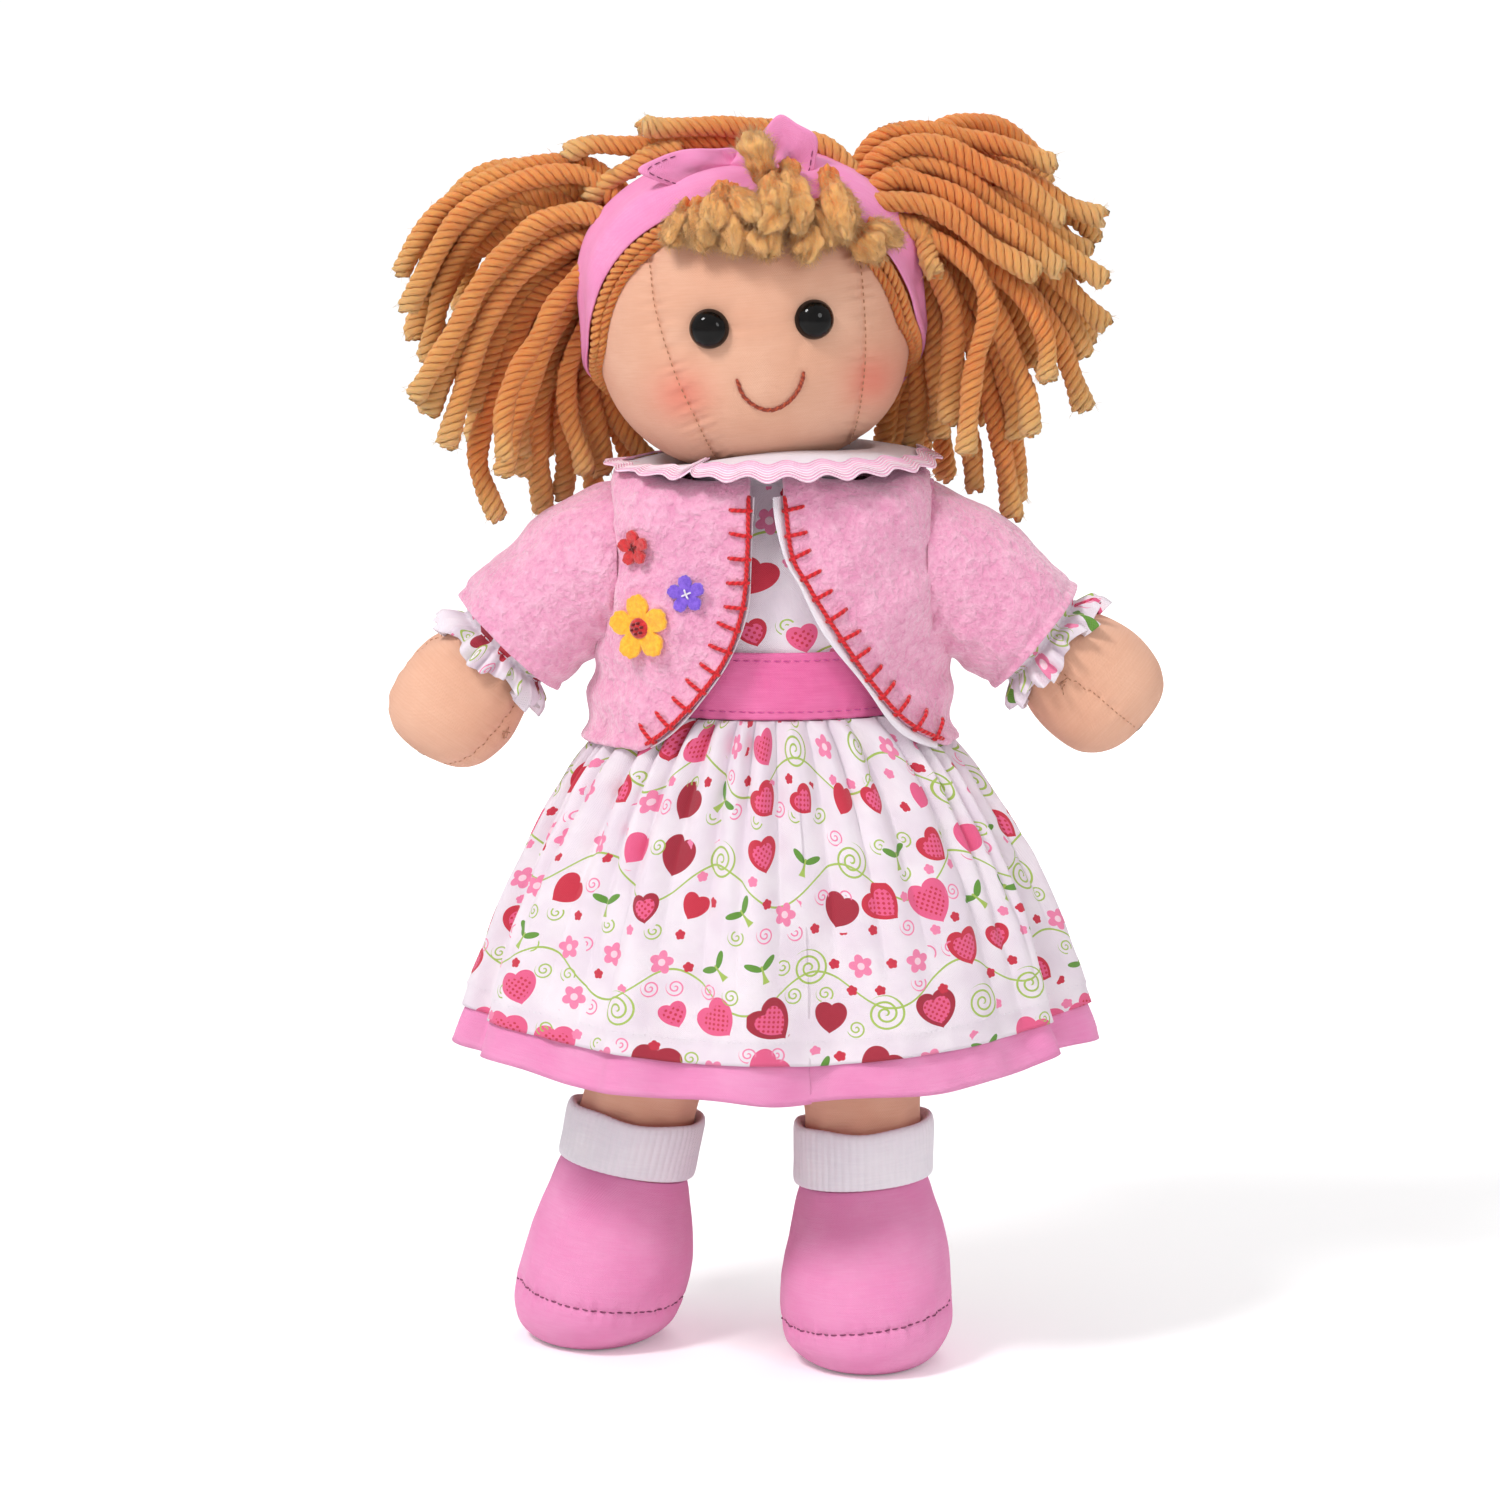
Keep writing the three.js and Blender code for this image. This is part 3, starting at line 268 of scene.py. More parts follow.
def mark(piece, name, values):
    """Gives each point of a piece a number that its material reads."""
    attribute = piece.data.attributes.new(name, "FLOAT", "POINT")
    attribute.data.foreach_set("value", np.asarray(values, np.float32).ravel())


# Materials

def linear(red, green, blue):
    """A colour in the shader's linear scale from its 8-bit values."""
    values = np.array([red, green, blue]) / 255
    return tuple(np.where(values <= 0.04045, values / 12.92, ((values + 0.055) / 1.055) ** 2.4))


class Value:
    """A number or vector worked out by a material's nodes."""

    def __init__(self, tree, socket):
        self.tree, self.socket = tree, socket

    def feed(self, node, inputs):
        for i, value in enumerate(inputs):
            if isinstance(value, Value):
                self.tree.links.new(value.socket, node.inputs[i])
            elif value is not None:
                node.inputs[i].default_value = value
        return node

    def math(self, operation, *inputs):
        node = self.tree.nodes.new("ShaderNodeMath")
        node.operation = operation
        return Value(self.tree, self.feed(node, inputs or (self,)).outputs[0])

    def __add__(self, other):
        return self.math("ADD", self, other)

    def __sub__(self, other):
        return self.math("SUBTRACT", self, other)

    def __rsub__(self, other):
        return self.math("SUBTRACT", other, self)

    def __mul__(self, other):
        return self.math("MULTIPLY", self, other)

    def __truediv__(self, other):
        return self.math("DIVIDE", self, other)

    def __pow__(self, other):
        return self.math("POWER", self, other)

    __radd__, __rmul__ = __add__, __mul__

    def below(self, other):
        return self.math("LESS_THAN", self, other)

    def above(self, other):
        return self.math("GREATER_THAN", self, other)

    def between(self, low, high):
        return self.above(low) * self.below(high)

    def ramp(self, low, high, to_low=0.0, to_high=1.0):
        """Runs from one value to another, smoothly, as this goes from low to high."""
        node = self.tree.nodes.new("ShaderNodeMapRange")
        node.interpolation_type = "SMOOTHSTEP"
        self.feed(node, (self, low, high, to_low, to_high))
        return Value(self.tree, node.outputs[0])

    def mixed(self, first, second):
        """A colour between two, by this share."""
        node = self.tree.nodes.new("ShaderNodeMix")
        node.data_type = "RGBA"
        self.tree.links.new(self.socket, node.inputs[0])
        for value, place in ((first, 6), (second, 7)):
            if isinstance(value, Value):
                self.tree.links.new(value.socket, node.inputs[place])
            else:
                node.inputs[place].default_value = (*value, 1)
        return Value(self.tree, node.outputs[2])


class Finish:
    """A material in the making: its shader, and the values its nodes give."""

    def __init__(self, name, roughness, sheen=0.0, sheen_roughness=0.5, specular=0.3, coat=0.0):
        self.material = bpy.data.materials.new(name)
        self.material.use_nodes = True
        self.tree = self.material.node_tree
        self.shader = self.tree.nodes["Principled BSDF"]
        settings = {
            "Roughness": roughness,
            "Sheen Weight": sheen,
            "Sheen Roughness": sheen_roughness,
            "Specular IOR Level": specular,
            "Coat Weight": coat,
        }
        for key, value in settings.items():
            self.shader.inputs[key].default_value = value

    def node(self, kind, output=0, **settings):
        node = self.tree.nodes.new(kind)
        for key, value in settings.items():
            setattr(node, key, value)
        return Value(self.tree, node.outputs[output])

    def split(self, vector):
        node = self.tree.nodes.new("ShaderNodeSeparateXYZ")
        self.tree.links.new(vector.socket, node.inputs[0])
        return [Value(self.tree, out) for out in node.outputs]

    def join(self, *values):
        node = self.tree.nodes.new("ShaderNodeCombineXYZ")
        values[0].feed(node, values)
        return Value(self.tree, node.outputs[0])

    def places(self):
        """Texture places across and along the cloth, in millimetres."""
        return self.split(self.node("ShaderNodeUVMap", uv_map="Cloth"))[:2]

    def spot(self):
        """The point's place on the object at rest, in metres."""
        return self.node("ShaderNodeTexCoord", 3)

    def noise(self, vector, scale, detail=2.0, roughness=0.5, output=0):
        node = self.tree.nodes.new("ShaderNodeTexNoise")
        vector.feed(node, (vector, None, scale, detail, roughness))
        return Value(self.tree, node.outputs[output])

    def random(self, vector, output=0):
        node = self.tree.nodes.new("ShaderNodeTexWhiteNoise")
        node.noise_dimensions = "3D"
        self.tree.links.new(vector.socket, node.inputs[0])
        return Value(self.tree, node.outputs[output])

    def attribute(self, name):
        return self.node("ShaderNodeAttribute", 2, attribute_name=name)

    def colour(self, colour):
        if isinstance(colour, Value):
            self.tree.links.new(colour.socket, self.shader.inputs["Base Color"])
        else:
            self.shader.inputs["Base Color"].default_value = (*colour, 1)
        return self

    def glow(self, spread, weight, depth):
        """Light that sinks in to a depth in millimetres and comes out again."""
        self.shader.inputs["Subsurface Weight"].default_value = weight
        self.shader.inputs["Subsurface Radius"].default_value = spread
        self.shader.inputs["Subsurface Scale"].default_value = depth * MM

    def bump(self, height, depth, strength=1.0):
        """Relief of a depth in millimetres."""
        node = self.tree.nodes.new("ShaderNodeBump")
        node.inputs["Strength"].default_value = strength
        node.inputs["Distance"].default_value = depth * MM
        self.tree.links.new(height.socket, node.inputs["Height"])
        self.tree.links.new(node.outputs[0], self.shader.inputs["Normal"])
        return self

    def weave(self, pitch):
        """A plain weave's relief, from -1 to 1, with threads that wander a little."""
        u, v = self.places()
        wander = self.noise(self.join(u, v, 0.0), 0.35, 2)
        across = ((u / pitch + wander * 1.5) * TURN).math("SINE")
        along = ((v / pitch + wander) * TURN).math("SINE")
        return across * along


def cotton_finish(name, pale, deep, pitch=0.5, sheen=0.15):
    """Plain woven cotton, a little mottled."""
    made = Finish(name, 0.9, sheen)
    u, v = made.places()
    weave = made.weave(pitch)
    patches = made.noise(made.join(u, v, 0.0), 0.06, 3)
    threads = made.noise(made.join(u * 0.15, v * 2.2, 0.0), 1.0, 2)
    share = patches * 0.55 + threads * 0.3 + weave * 0.07
    made.colour(share.ramp(0.2, 0.75).mixed(linear(*deep), linear(*pale)))
    return made.bump(weave + threads * 1.2, 0.06)


def skin_finish():
    made = cotton_finish("skin_cotton", (240, 190, 163), (228, 169, 140), 0.42)
    cloth = Value(made.tree, made.shader.inputs["Base Color"].links[0].from_socket)
    made.colour(made.attribute("blush").mixed(cloth, linear(232, 108, 92)))
    return made.material


def heart_edge(x, y):
    """Below 0 inside a heart about 2.3 wide."""
    ring = x * x + y * y - 1.0
    return ring * ring * ring - x * x * y * y * y


def scattered(made, cell, rise, row_key, key, wander):
    """Across and up from a place in each cell of a brick pattern, with the cell's random values and kind."""
    u, v = made.places()
    high = v / cell + rise
    brick = high.math("FLOOR")
    shifted = u / cell + made.random(made.join(brick, *row_key))
    column = shifted.math("FLOOR")
    drift = made.split(made.random(made.join(column, brick, key), 1))
    x = (shifted - column - 0.5) * cell + (drift[0] - 0.5) * wander[0]
    y = (high - brick - 0.5) * cell + (drift[1] - 0.5) * wander[1]
    return x, y, drift, made.random(made.join(column, brick, 2.0))


def print_finish():
    """White cotton strewn with plain hearts, blossoms, leaf pairs and curls over wandering stems."""
    made = Finish("printed_cotton", 0.88, 0.15)
    cell, stem_row, stem_wave, stem_length, small = 14.6, 29.2, 5.5, 41.0, 8.3
    white, red, deep_red = linear(246, 236, 243), linear(206, 34, 58), linear(168, 20, 44)
    pink, rose = linear(244, 132, 172), linear(236, 92, 138)
    green, lime = linear(92, 150, 40), linear(168, 196, 84)
    u, v = made.places()
    weave = made.weave(0.5)
    patches = made.noise(made.join(u, v, 0.0), 0.08, 2)
    shade = patches.ramp(0.3, 0.7).mixed(linear(238, 224, 235), white)

    row = (v / stem_row).math("FLOOR")
    phase = made.random(made.join(row, row * 0.37, 4.0)) * TURN
    swing = (u * (TURN / stem_length) + phase).math("SINE") * stem_wave
    from_stem = (v - (row + 0.5) * stem_row - swing).math("ABSOLUTE")
    shade = from_stem.below(0.3).mixed(shade, lime)

    x, y, drift, kind = scattered(made, cell, 0.0, (7.0, 1.0), 9.0, (3.2, 2.0))
    turn = (drift[2] - 0.5) * 1.7
    cos, sin = turn.math("COSINE"), turn.math("SINE")
    px, py = x * cos + y * sin, y * cos - x * sin
    far = (px * px + py * py) ** 0.5
    angle = px.math("ARCTAN2", py, px)

    clear = far.above(5.4)
    size = (drift[0] - 0.5).math("ABSOLUTE") * -4.8 + 5.5
    heart = kind.below(0.34) * heart_edge(px / size, py / size).below(0.0)
    tone = drift[1].above(0.45).mixed(red, rose)
    shade = heart.mixed(shade, drift[1].above(0.8).mixed(tone, deep_red))
    inner = kind.below(0.34) * heart_edge(px / (size * 0.7), (py + 0.1) / (size * 0.7)).below(0.0)
    seeds = ((px * 3.3).math("SINE") * (py * 3.3).math("SINE")).above(0.35)
    ripe = drift[2].above(0.5)
    shade = (inner * ripe).mixed(shade, rose)
    shade = (inner * ripe * seeds).mixed(shade, red)

    petal = 2.1 + 1.3 * (angle * 2.5).math("SINE").math("ABSOLUTE")
    blossom = kind.between(0.34, 0.6) * (far - petal).below(0.0)
    shade = blossom.mixed(shade, pink)
    shade = (kind.between(0.34, 0.6) * far.below(1.0)).mixed(shade, linear(252, 214, 226))

    leaf = px.math("ABSOLUTE")
    blade = ((leaf - 2.3) * (leaf - 2.3) / 5.2 + (py - leaf * 0.5) * (py - leaf * 0.5) / 1.2).below(1.0)
    shade = (kind.between(0.6, 0.78) * blade).mixed(shade, green)
    stalk = (leaf - py * py * 0.05).below(0.28) * py.between(-4.0, 1.0)
    shade = (kind.between(0.6, 0.78) * stalk).mixed(shade, lime)

    coil = far / 2.0 - angle / TURN
    curl = (coil - coil.math("FLOOR") - 0.5).math("ABSOLUTE").below(0.15) * far.between(0.4, 5.2)
    shade = (kind.above(0.78) * curl).mixed(shade, lime)

    x, y, drift, _ = scattered(made, small, 0.37, (3.0, 5.0), 15.0, (3.6, 3.6))
    near = (x * x + y * y) ** 0.5
    angle = x.math("ARCTAN2", y, x)
    bud = (near - 1.15 - 0.35 * (angle * 2.5 + 0.4).math("SINE").math("ABSOLUTE")).below(0.0)
    open_ground = clear * drift[2].below(0.46)
    shade = (bud * open_ground).mixed(shade, drift[0].above(0.5).mixed(pink, red))
    coil = near / 1.3 + angle / TURN
    twirl = (coil - coil.math("FLOOR") - 0.5).math("ABSOLUTE").below(0.17) * near.between(0.2, 2.5)
    twirl = twirl * clear * drift[2].between(0.46, 0.8)
    shade = twirl.mixed(shade, drift[1].above(0.4).mixed(pink, lime))

    made.colour((weave * 0.06 + 0.06).mixed(shade, linear(200, 170, 190)))
    made.bump(weave, 0.06)
    return made.material


def yarn_finish():
    """Loose fibres that run along each ply. The pale mark is paler at frayed ends, and brings painted light
    and shade: deep between plies and pale on each ply's outer face.
    """
    made = Finish("yarn", 0.95, 0.2, 0.5, 0.1)
    u, v = made.places()
    fibres = made.noise(made.join(u * 9.0 + v * 0.55, v * 0.12, 0.0), 1.0, 4, 0.65)
    clumps = made.noise(made.join(u * 1.5, v * 0.3, 0.0), 1.0, 3)
    dye = made.noise(made.spot(), 30.0, 2)
    share = fibres * 0.6 + clumps * 0.35 + dye * 0.25 + made.attribute("pale") * 0.5 - 0.03
    made.glow((1.0, 0.45, 0.2), 0.25, 1.2)
    # deep is the saturated colour of the painted shade between plies and strands; pale is that of the painted
    # light on the plies' outer faces and of the frayed ends
    deep = made.attribute("pale").mixed(linear(255, 80, 10), linear(255, 118, 40))
    pale = made.attribute("pale").mixed(linear(255, 172, 84), linear(255, 200, 134))
    made.colour(share.ramp(0.35, 0.85).mixed(deep, pale))
    made.bump(fibres + clumps * 0.5, 0.55)
    return made.material


def fleece_finish():
    """Short pile that clots into small nubs."""
    made = Finish("fleece", 1.0, 0.6, 0.7, 0.05)
    nubs = made.noise(made.spot(), 620.0, 3, 0.6)
    clots = made.noise(made.spot(), 190.0, 3, 0.6)
    cloud = made.noise(made.spot(), 28.0, 2)
    share = nubs * 0.5 + clots * 0.4 + cloud * 0.12
    made.colour(share.ramp(0.35, 0.75).mixed(linear(224, 136, 176), linear(242, 178, 205)))
    made.bump(nubs * 0.6 + clots, 1.7)
    return made.material


def felt_finish(name, pale, deep):
    made = Finish(name, 1.0, 0.5, 0.6, 0.1)
    fibres = made.noise(made.spot(), 900.0, 4, 0.7)
    made.colour(fibres.ramp(0.3, 0.7).mixed(linear(*deep), linear(*pale)))
    made.bump(fibres, 0.25)
    return made.material


def thread_finish(name, pale, deep):
    """Spun thread, with its twist as slanted ridges, pale on the ridges and deep in the grooves between them
    as painted shade.
    """
    made = Finish(name, 0.7, 0.3, 0.5, 0.3)
    u, v = made.places()
    twist = (u * 3.0 + v * 4.2).math("SINE")
    # painted shade: the colour follows the twist's relief, deep in its grooves and pale on its ridges
    made.colour((twist * 0.5 + 0.5).mixed(linear(*deep), linear(*pale)))
    made.bump(twist, 0.12)
    return made.material


def braid_finish():
    """A braid of white cords with pink between them."""
    made = Finish("ric_rac", 0.85, 0.15)
    _, v = made.places()
    cords = (v / 0.86 * TURN).math("SINE")
    fibres = made.noise(made.spot(), 900.0, 3)
    share = (cords * 0.4 + fibres * 0.4 + 0.3).ramp(0.1, 0.9)
    made.colour(share.mixed(linear(248, 180, 214), linear(255, 236, 246)))
    made.bump(cords, 0.12)
    return made.material


def button_finish():
    made = Finish("black_button", 0.04, 0, 0.5, 0.2, 0.0)
    wear = made.noise(made.spot(), 400.0, 3)
    made.colour(wear.ramp(0.3, 0.8).mixed(linear(8, 7, 7), linear(20, 17, 16)))
    return made.material


def washer_finish():
    made = Finish("washer", 0.45)
    marks = made.noise(made.spot(), 900.0, 2)
    made.colour(marks.mixed(linear(226, 224, 218), linear(244, 243, 240)))
    return made.material


SKIN = skin_finish()
PRINT = print_finish()
YARN = yarn_finish()
FLEECE = fleece_finish()
PINK = cotton_finish("pink_cotton", (244, 164, 206), (238, 138, 190)).material
# the waistband's deeper pink, darker in part as painted shade from the cardigan over it
DEEP_PINK_WITH_PAINTED_SHADE = cotton_finish("deep_pink_cotton_with_painted_shade", (246, 134, 186), (230, 100, 158)).material
WHITE = cotton_finish("white_cotton", (248, 242, 247), (234, 224, 234), 0.45).material
KNIT = cotton_finish("rib_knit", (250, 247, 250), (232, 228, 236), 0.7, 0.3).material
TRIM = braid_finish()
RED_THREAD = thread_finish("red_thread", (228, 30, 42), (180, 12, 24))
MOUTH_THREAD = thread_finish("mouth_thread", (176, 74, 40), (132, 42, 22))
SEAM_THREAD = thread_finish("seam_thread", (206, 150, 116), (176, 118, 86))
PINK_THREAD = thread_finish("pink_thread", (226, 96, 168), (192, 62, 136))
DARK_THREAD = thread_finish("dark_thread", (150, 70, 110), (112, 40, 80))
WHITE_THREAD = thread_finish("white_thread", (250, 244, 250), (224, 214, 226))
DARK_RED_THREAD = thread_finish("dark_red_thread", (130, 16, 22), (96, 8, 14))
YELLOW_THREAD = thread_finish("yellow_thread", (250, 206, 40), (230, 170, 20))
YELLOW = felt_finish("yellow_felt", (255, 190, 40), (240, 158, 14))
PURPLE = felt_finish("purple_felt", (138, 96, 220), (104, 66, 190))
RED = felt_finish("red_felt", (214, 34, 40), (176, 18, 26))
BUTTON = button_finish()
WASHER = washer_finish()


# Shapes shared by pieces

def ring(a, b, z, count=96, start=0.0):
    """Level ellipses, one for each height."""
    t = start + circle(count)
    a, b, z = (np.atleast_1d(np.asarray(v, float))[:, None] for v in (a, b, z))
    return np.stack([a * np.cos(t), b * np.sin(t), z + 0 * t], 2)


def ellipses(middle, over, a, b, t):
    """An ellipse round each middle, whose half width lies along a direction of its own."""
    a, b = (np.broadcast_to(np.asarray(v, float), len(middle))[:, None] for v in (a, b))
    return middle[:, None] + (a * np.cos(t))[..., None] * over[:, None] + (b * np.sin(t))[..., None] * Y


def tube(pile, points, radius, sides=8, blunt=0.5):
    """A closed round rod along a line, with rounded ends. radius is a number, or one for each point."""
    along, side, up = frames_along(points)
    radius = np.broadcast_to(np.asarray(radius, float), (len(points),))
    cap = ((0.0, 1), (0.55, 0.8), (0.86, 0.45))
    t = circle(sides)
    round_ = spokes(t, side, up)

    def rounded(i, shift, share):
        return points[i] + along[i] * radius[i] * shift * blunt + round_[i] * radius[i] * share

    first = [rounded(0, -shift, share) for share, shift in cap]
    last = [rounded(-1, shift, share) for share, shift in cap[::-1]]
    between = points[1:-1, None] + round_[1:-1] * radius[1:-1, None, None]
    return pile.grid(np.array([*first, *between, *last]), wrap=True)


def stitches(pile, points, length, gap, radius, normals=None, dip=0.25, sides=6, jitter=0.12):
    """A row of short stitches along a line, whose ends dive into the cloth."""
    line = even(points, 0.2)
    run = distances(line)
    out = None
    if normals is not None:
        source = distances(points)
        source *= run[-1] / source[-1]
        out = unit(np.stack([np.interp(run, source, normals[:, k]) for k in range(3)], 1))
    start = 0.0
    while start + length < run[-1]:
        at = start + length * np.array([0, 0.2, 0.5, 0.8, 1])
        spots = np.stack([np.interp(at, run, line[:, k]) for k in range(3)], 1)
        if out is not None:
            lift = np.array([-dip, 0.5 * dip, dip, 0.5 * dip, -dip])[:, None]
            spots += lift * np.stack([np.interp(at, run, out[:, k]) for k in range(3)], 1)
        tube(pile, spots + rng.normal(0, jitter * radius, (1, 3)), radius, sides)
        start += (length + gap) * rng.uniform(0.93, 1.07)
    return pile


def from_line(points, line):
    """How far points lie from a line in a plane, and how far along the line their nearest place is."""
    best = np.full(points.shape[:-1], 1e9)
    where = np.zeros(points.shape[:-1])
    run = 0.0
    for a, b in zip(line[:-1], line[1:]):
        d = b - a
        size = np.linalg.norm(d)
        t = np.clip(((points - a) @ d) / size**2, 0, 1)
        far = np.linalg.norm(points - a - t[..., None] * d, axis=-1)
        near = far < best
        best, where = np.where(near, far, best), np.where(near, run + t * size, where)
        run += size
    return best, where


def soften(points, size, amount):
    """Small uneven swells of a size and height, along the outward directions of a wrapped grid."""
    return points + normals_of(points, True) * (ripple(points, size) * amount)[..., None]


# Torso and neck

TORSO_TABLE = spline(
    [[0, 1, 0.12], [0.05, 1.04, 0.42], [0.13, 1.04, 0.76], [0.28, 1, 1], [0.47, 0.92, 0.98],
     [0.64, 0.92, 0.95], [0.8, 1, 0.92], [0.9, 1, 0.86], [0.96, 0.9, 0.76], [1, 0.6, 0.62]],
    200,
)
TORSO_HALF = np.array([36.5, 23.0])


def torso_at(z):
    """The torso's half width and half depth at a height."""
    share = (np.asarray(z, float) - HIP) / TORSO
    return tuple(np.interp(share, TORSO_TABLE[:, 0], TORSO_TABLE[:, k + 1]) * TORSO_HALF[k] for k in (0, 1))


def make_torso():
    z = HIP + TORSO * TORSO_TABLE[::3, 0]
    a, b = TORSO_TABLE[::3, 1] * TORSO_HALF[0], TORSO_TABLE[::3, 2] * TORSO_HALF[1]
    points = ring(a - 0.3, b - 0.3, z)
    piece = show("torso", Pile().grid(points, **CLOSED), SKIN, "torso",
                 ("torso_skin", "torso_stuffing"))


HEAD_HALF = np.array([41.0, 36.0, 38.0])
HEAD_POWER = 2.35
HEAD_LIFT = 45.0
ROLL, YAW = math.radians(-5), math.radians(3)
HEAD_TURN = rotation(ROLL, 2, 0) @ rotation(YAW, 0, 1)


def from_neck(points):
    """From the neck's own frame to the doll's."""
    return points @ HEAD_TURN.T + (-1, 0, NECK)


def from_head(points):
    """From the frame of the head's centre to the doll's."""
    return from_neck(np.asarray(points, float) + (0, 0, HEAD_LIFT))


NECK_RADIUS = 11.2


def make_neck():
    t = np.radians(np.linspace(-86, 0, 12))
    z = np.concatenate([NECK_RADIUS * np.sin(t), [3, 6, 9, 12.5]])
    r = np.concatenate([NECK_RADIUS * np.cos(t), [NECK_RADIUS] * 4])
    pile = Pile().grid(from_neck(ring(r, r, z, 48)), **CLOSED)
    piece = show("neck_cloth", pile, SKIN, "neck", ("neck",))


# Head

def face_at(x, z, grow=0.0):
    """The y of the front of a head grown by a distance."""
    half = HEAD_HALF + grow
    high = np.minimum(np.abs(z / half[2]), 1) ** HEAD_POWER
    round_ = (1 - high) ** (1 / HEAD_POWER)
    wide = np.minimum(np.abs(x) / np.maximum(half[0] * round_, 1e-6), 1)
    return -half[1] * round_ * np.sqrt(1 - wide**2)


def face_points(flat, lift=0.0):
    """Points on the face, a lift in front of it, over places across and up."""
    flat = np.asarray(flat, float)
    return np.stack([flat[:, 0], face_at(flat[:, 0], flat[:, 1]) - lift, flat[:, 1]], 1)


def how_far_out(points, half):
    """Below 1 inside a head of some half sizes, and above it outside."""
    share = np.abs(points / half)
    return np.hypot(share[..., 0], share[..., 1]) ** HEAD_POWER + share[..., 2] ** HEAD_POWER


def head_rings(lowest, highest, rows, count, grow=0.0):
    """Rings on a head grown by a distance, between two latitudes in degrees."""
    lat = np.radians(np.linspace(lowest, highest, rows))
    bend = 2 / HEAD_POWER
    wide, up = np.cos(lat) ** bend, np.sign(lat) * np.abs(np.sin(lat)) ** bend
    half = HEAD_HALF + grow
    return ring(wide * half[0], wide * half[1], up * half[2], count, math.pi / 2)


def head_shell(centre, ways, grow):
    """Where lines from a centre meet a head grown by a distance."""
    half = HEAD_HALF + np.asarray(grow, float)[..., None]
    low, high = np.zeros(ways.shape[:-1]), np.full(ways.shape[:-1], 90.0)
    for _ in range(34):
        mid = (low + high) / 2
        inside = how_far_out(centre + ways * mid[..., None], half) < 1
        low, high = np.where(inside, mid, low), np.where(inside, high, mid)
    return centre + ways * low[..., None]


SEAMS = (
    spline([[-19, 35.5], [-25.3, 24.7], [-26.2, 15], [-25.7, 6.5], [-22.5, -8.6], [-18.5, -20], [-14, -31.3],
            [-10, -36]], 70),
    spline([[22, 34], [27.1, 18.6], [27.6, 4.9], [26.9, -8.2], [24.5, -22.7], [21.8, -33]], 60),
)
MOUTH = spline([[-6.9, -11.6], [-5.9, -15.4], [-2.8, -18.7], [1.2, -20.1], [5.4, -18.6], [8.6, -15.3],
                [10.2, -11.4]], 60)
EYES = ((-12.9, 2.2), (14.0, 2.1))
BLUSHES = ((-21.6, -14.6), (28.4, -15.6))


def make_head():
    count = 400
    points = head_rings(-78.5, 86, 210, count)
    out = normals_of(points, True)
    flat = points[..., [0, 2]]
    front = points[..., 1] < 0
    push = ripple(points, 34) * 0.35
    for line in SEAMS:
        far, run = from_line(flat, line)
        pucker = 1 + 0.35 * np.sin(run * TURN / 3.9 + np.sin(run * 0.7)) + 0.2 * np.sin(run * TURN / 2.3)
        push -= front * (0.5 * bell(far, 0.75) + 0.62 * bell(far, 3.6) * pucker)
    for x, z in EYES:
        far = np.hypot(flat[..., 0] - x, flat[..., 1] - z)
        around = np.arctan2(flat[..., 1] - z, flat[..., 0] - x)
        push -= front * (1.5 * bell(far, 6.5) + 0.12 * bell(far - 8.5, 3.0) * np.cos(around * 9))
    between, _ = from_line(flat, spline([[-9, 2.0], [-3, 1.2], [3, 1.6], [10, 2.6]], 20))
    push -= front * 0.28 * bell(between, 0.8)
    mouth, _ = from_line(flat, MOUTH)
    push -= front * 0.3 * bell(mouth, 1.4)
    points = points + out * push[..., None]
    u = np.broadcast_to(np.linspace(0, TURN * 38.5, count + 1), (len(points), count + 1))
    pile = Pile().grid(from_head(points), u=u, wrap=True, caps=(False, True))
    piece = show("head", pile, SKIN, "head", ("head_skin", "head_stuffing"))
    blush = sum(
        front * 0.62 * bell(np.hypot((flat[..., 0] - x) / 1.05, flat[..., 1] - z), 7.2) for x, z in BLUSHES
    )
    mark(piece, "blush", np.concatenate([blush.ravel(), [0]]))

    pile = Pile()
    for line in SEAMS:
        spots = face_points(line, -0.85)
        stitches(pile, from_head(spots), 0.75, 1.0, 0.17, np.tile(-Y, (len(spots), 1)), 0.1, 5)
    show("face_seam_stitches", pile, SEAM_THREAD, "head")

    pile = Pile()
    line = even(np.c_[MOUTH, np.zeros(len(MOUTH))], 2.05)[:, :2]
    for a, b in zip(line[:-1], line[1:]):
        way = unit(b - a)
        tilt = np.array([-way[1], way[0]]) * 0.16
        spots = face_points(np.array([a - way * 0.35 - tilt, (a + b) / 2, b + way * 0.35 + tilt]), 0.2)
        spots[1, 1] -= 0.16
        tube(pile, from_head(spots), (0.42, 0.56, 0.42), 8)
    show("mouth", pile, MOUTH_THREAD, "head", ("mouth_thread",))


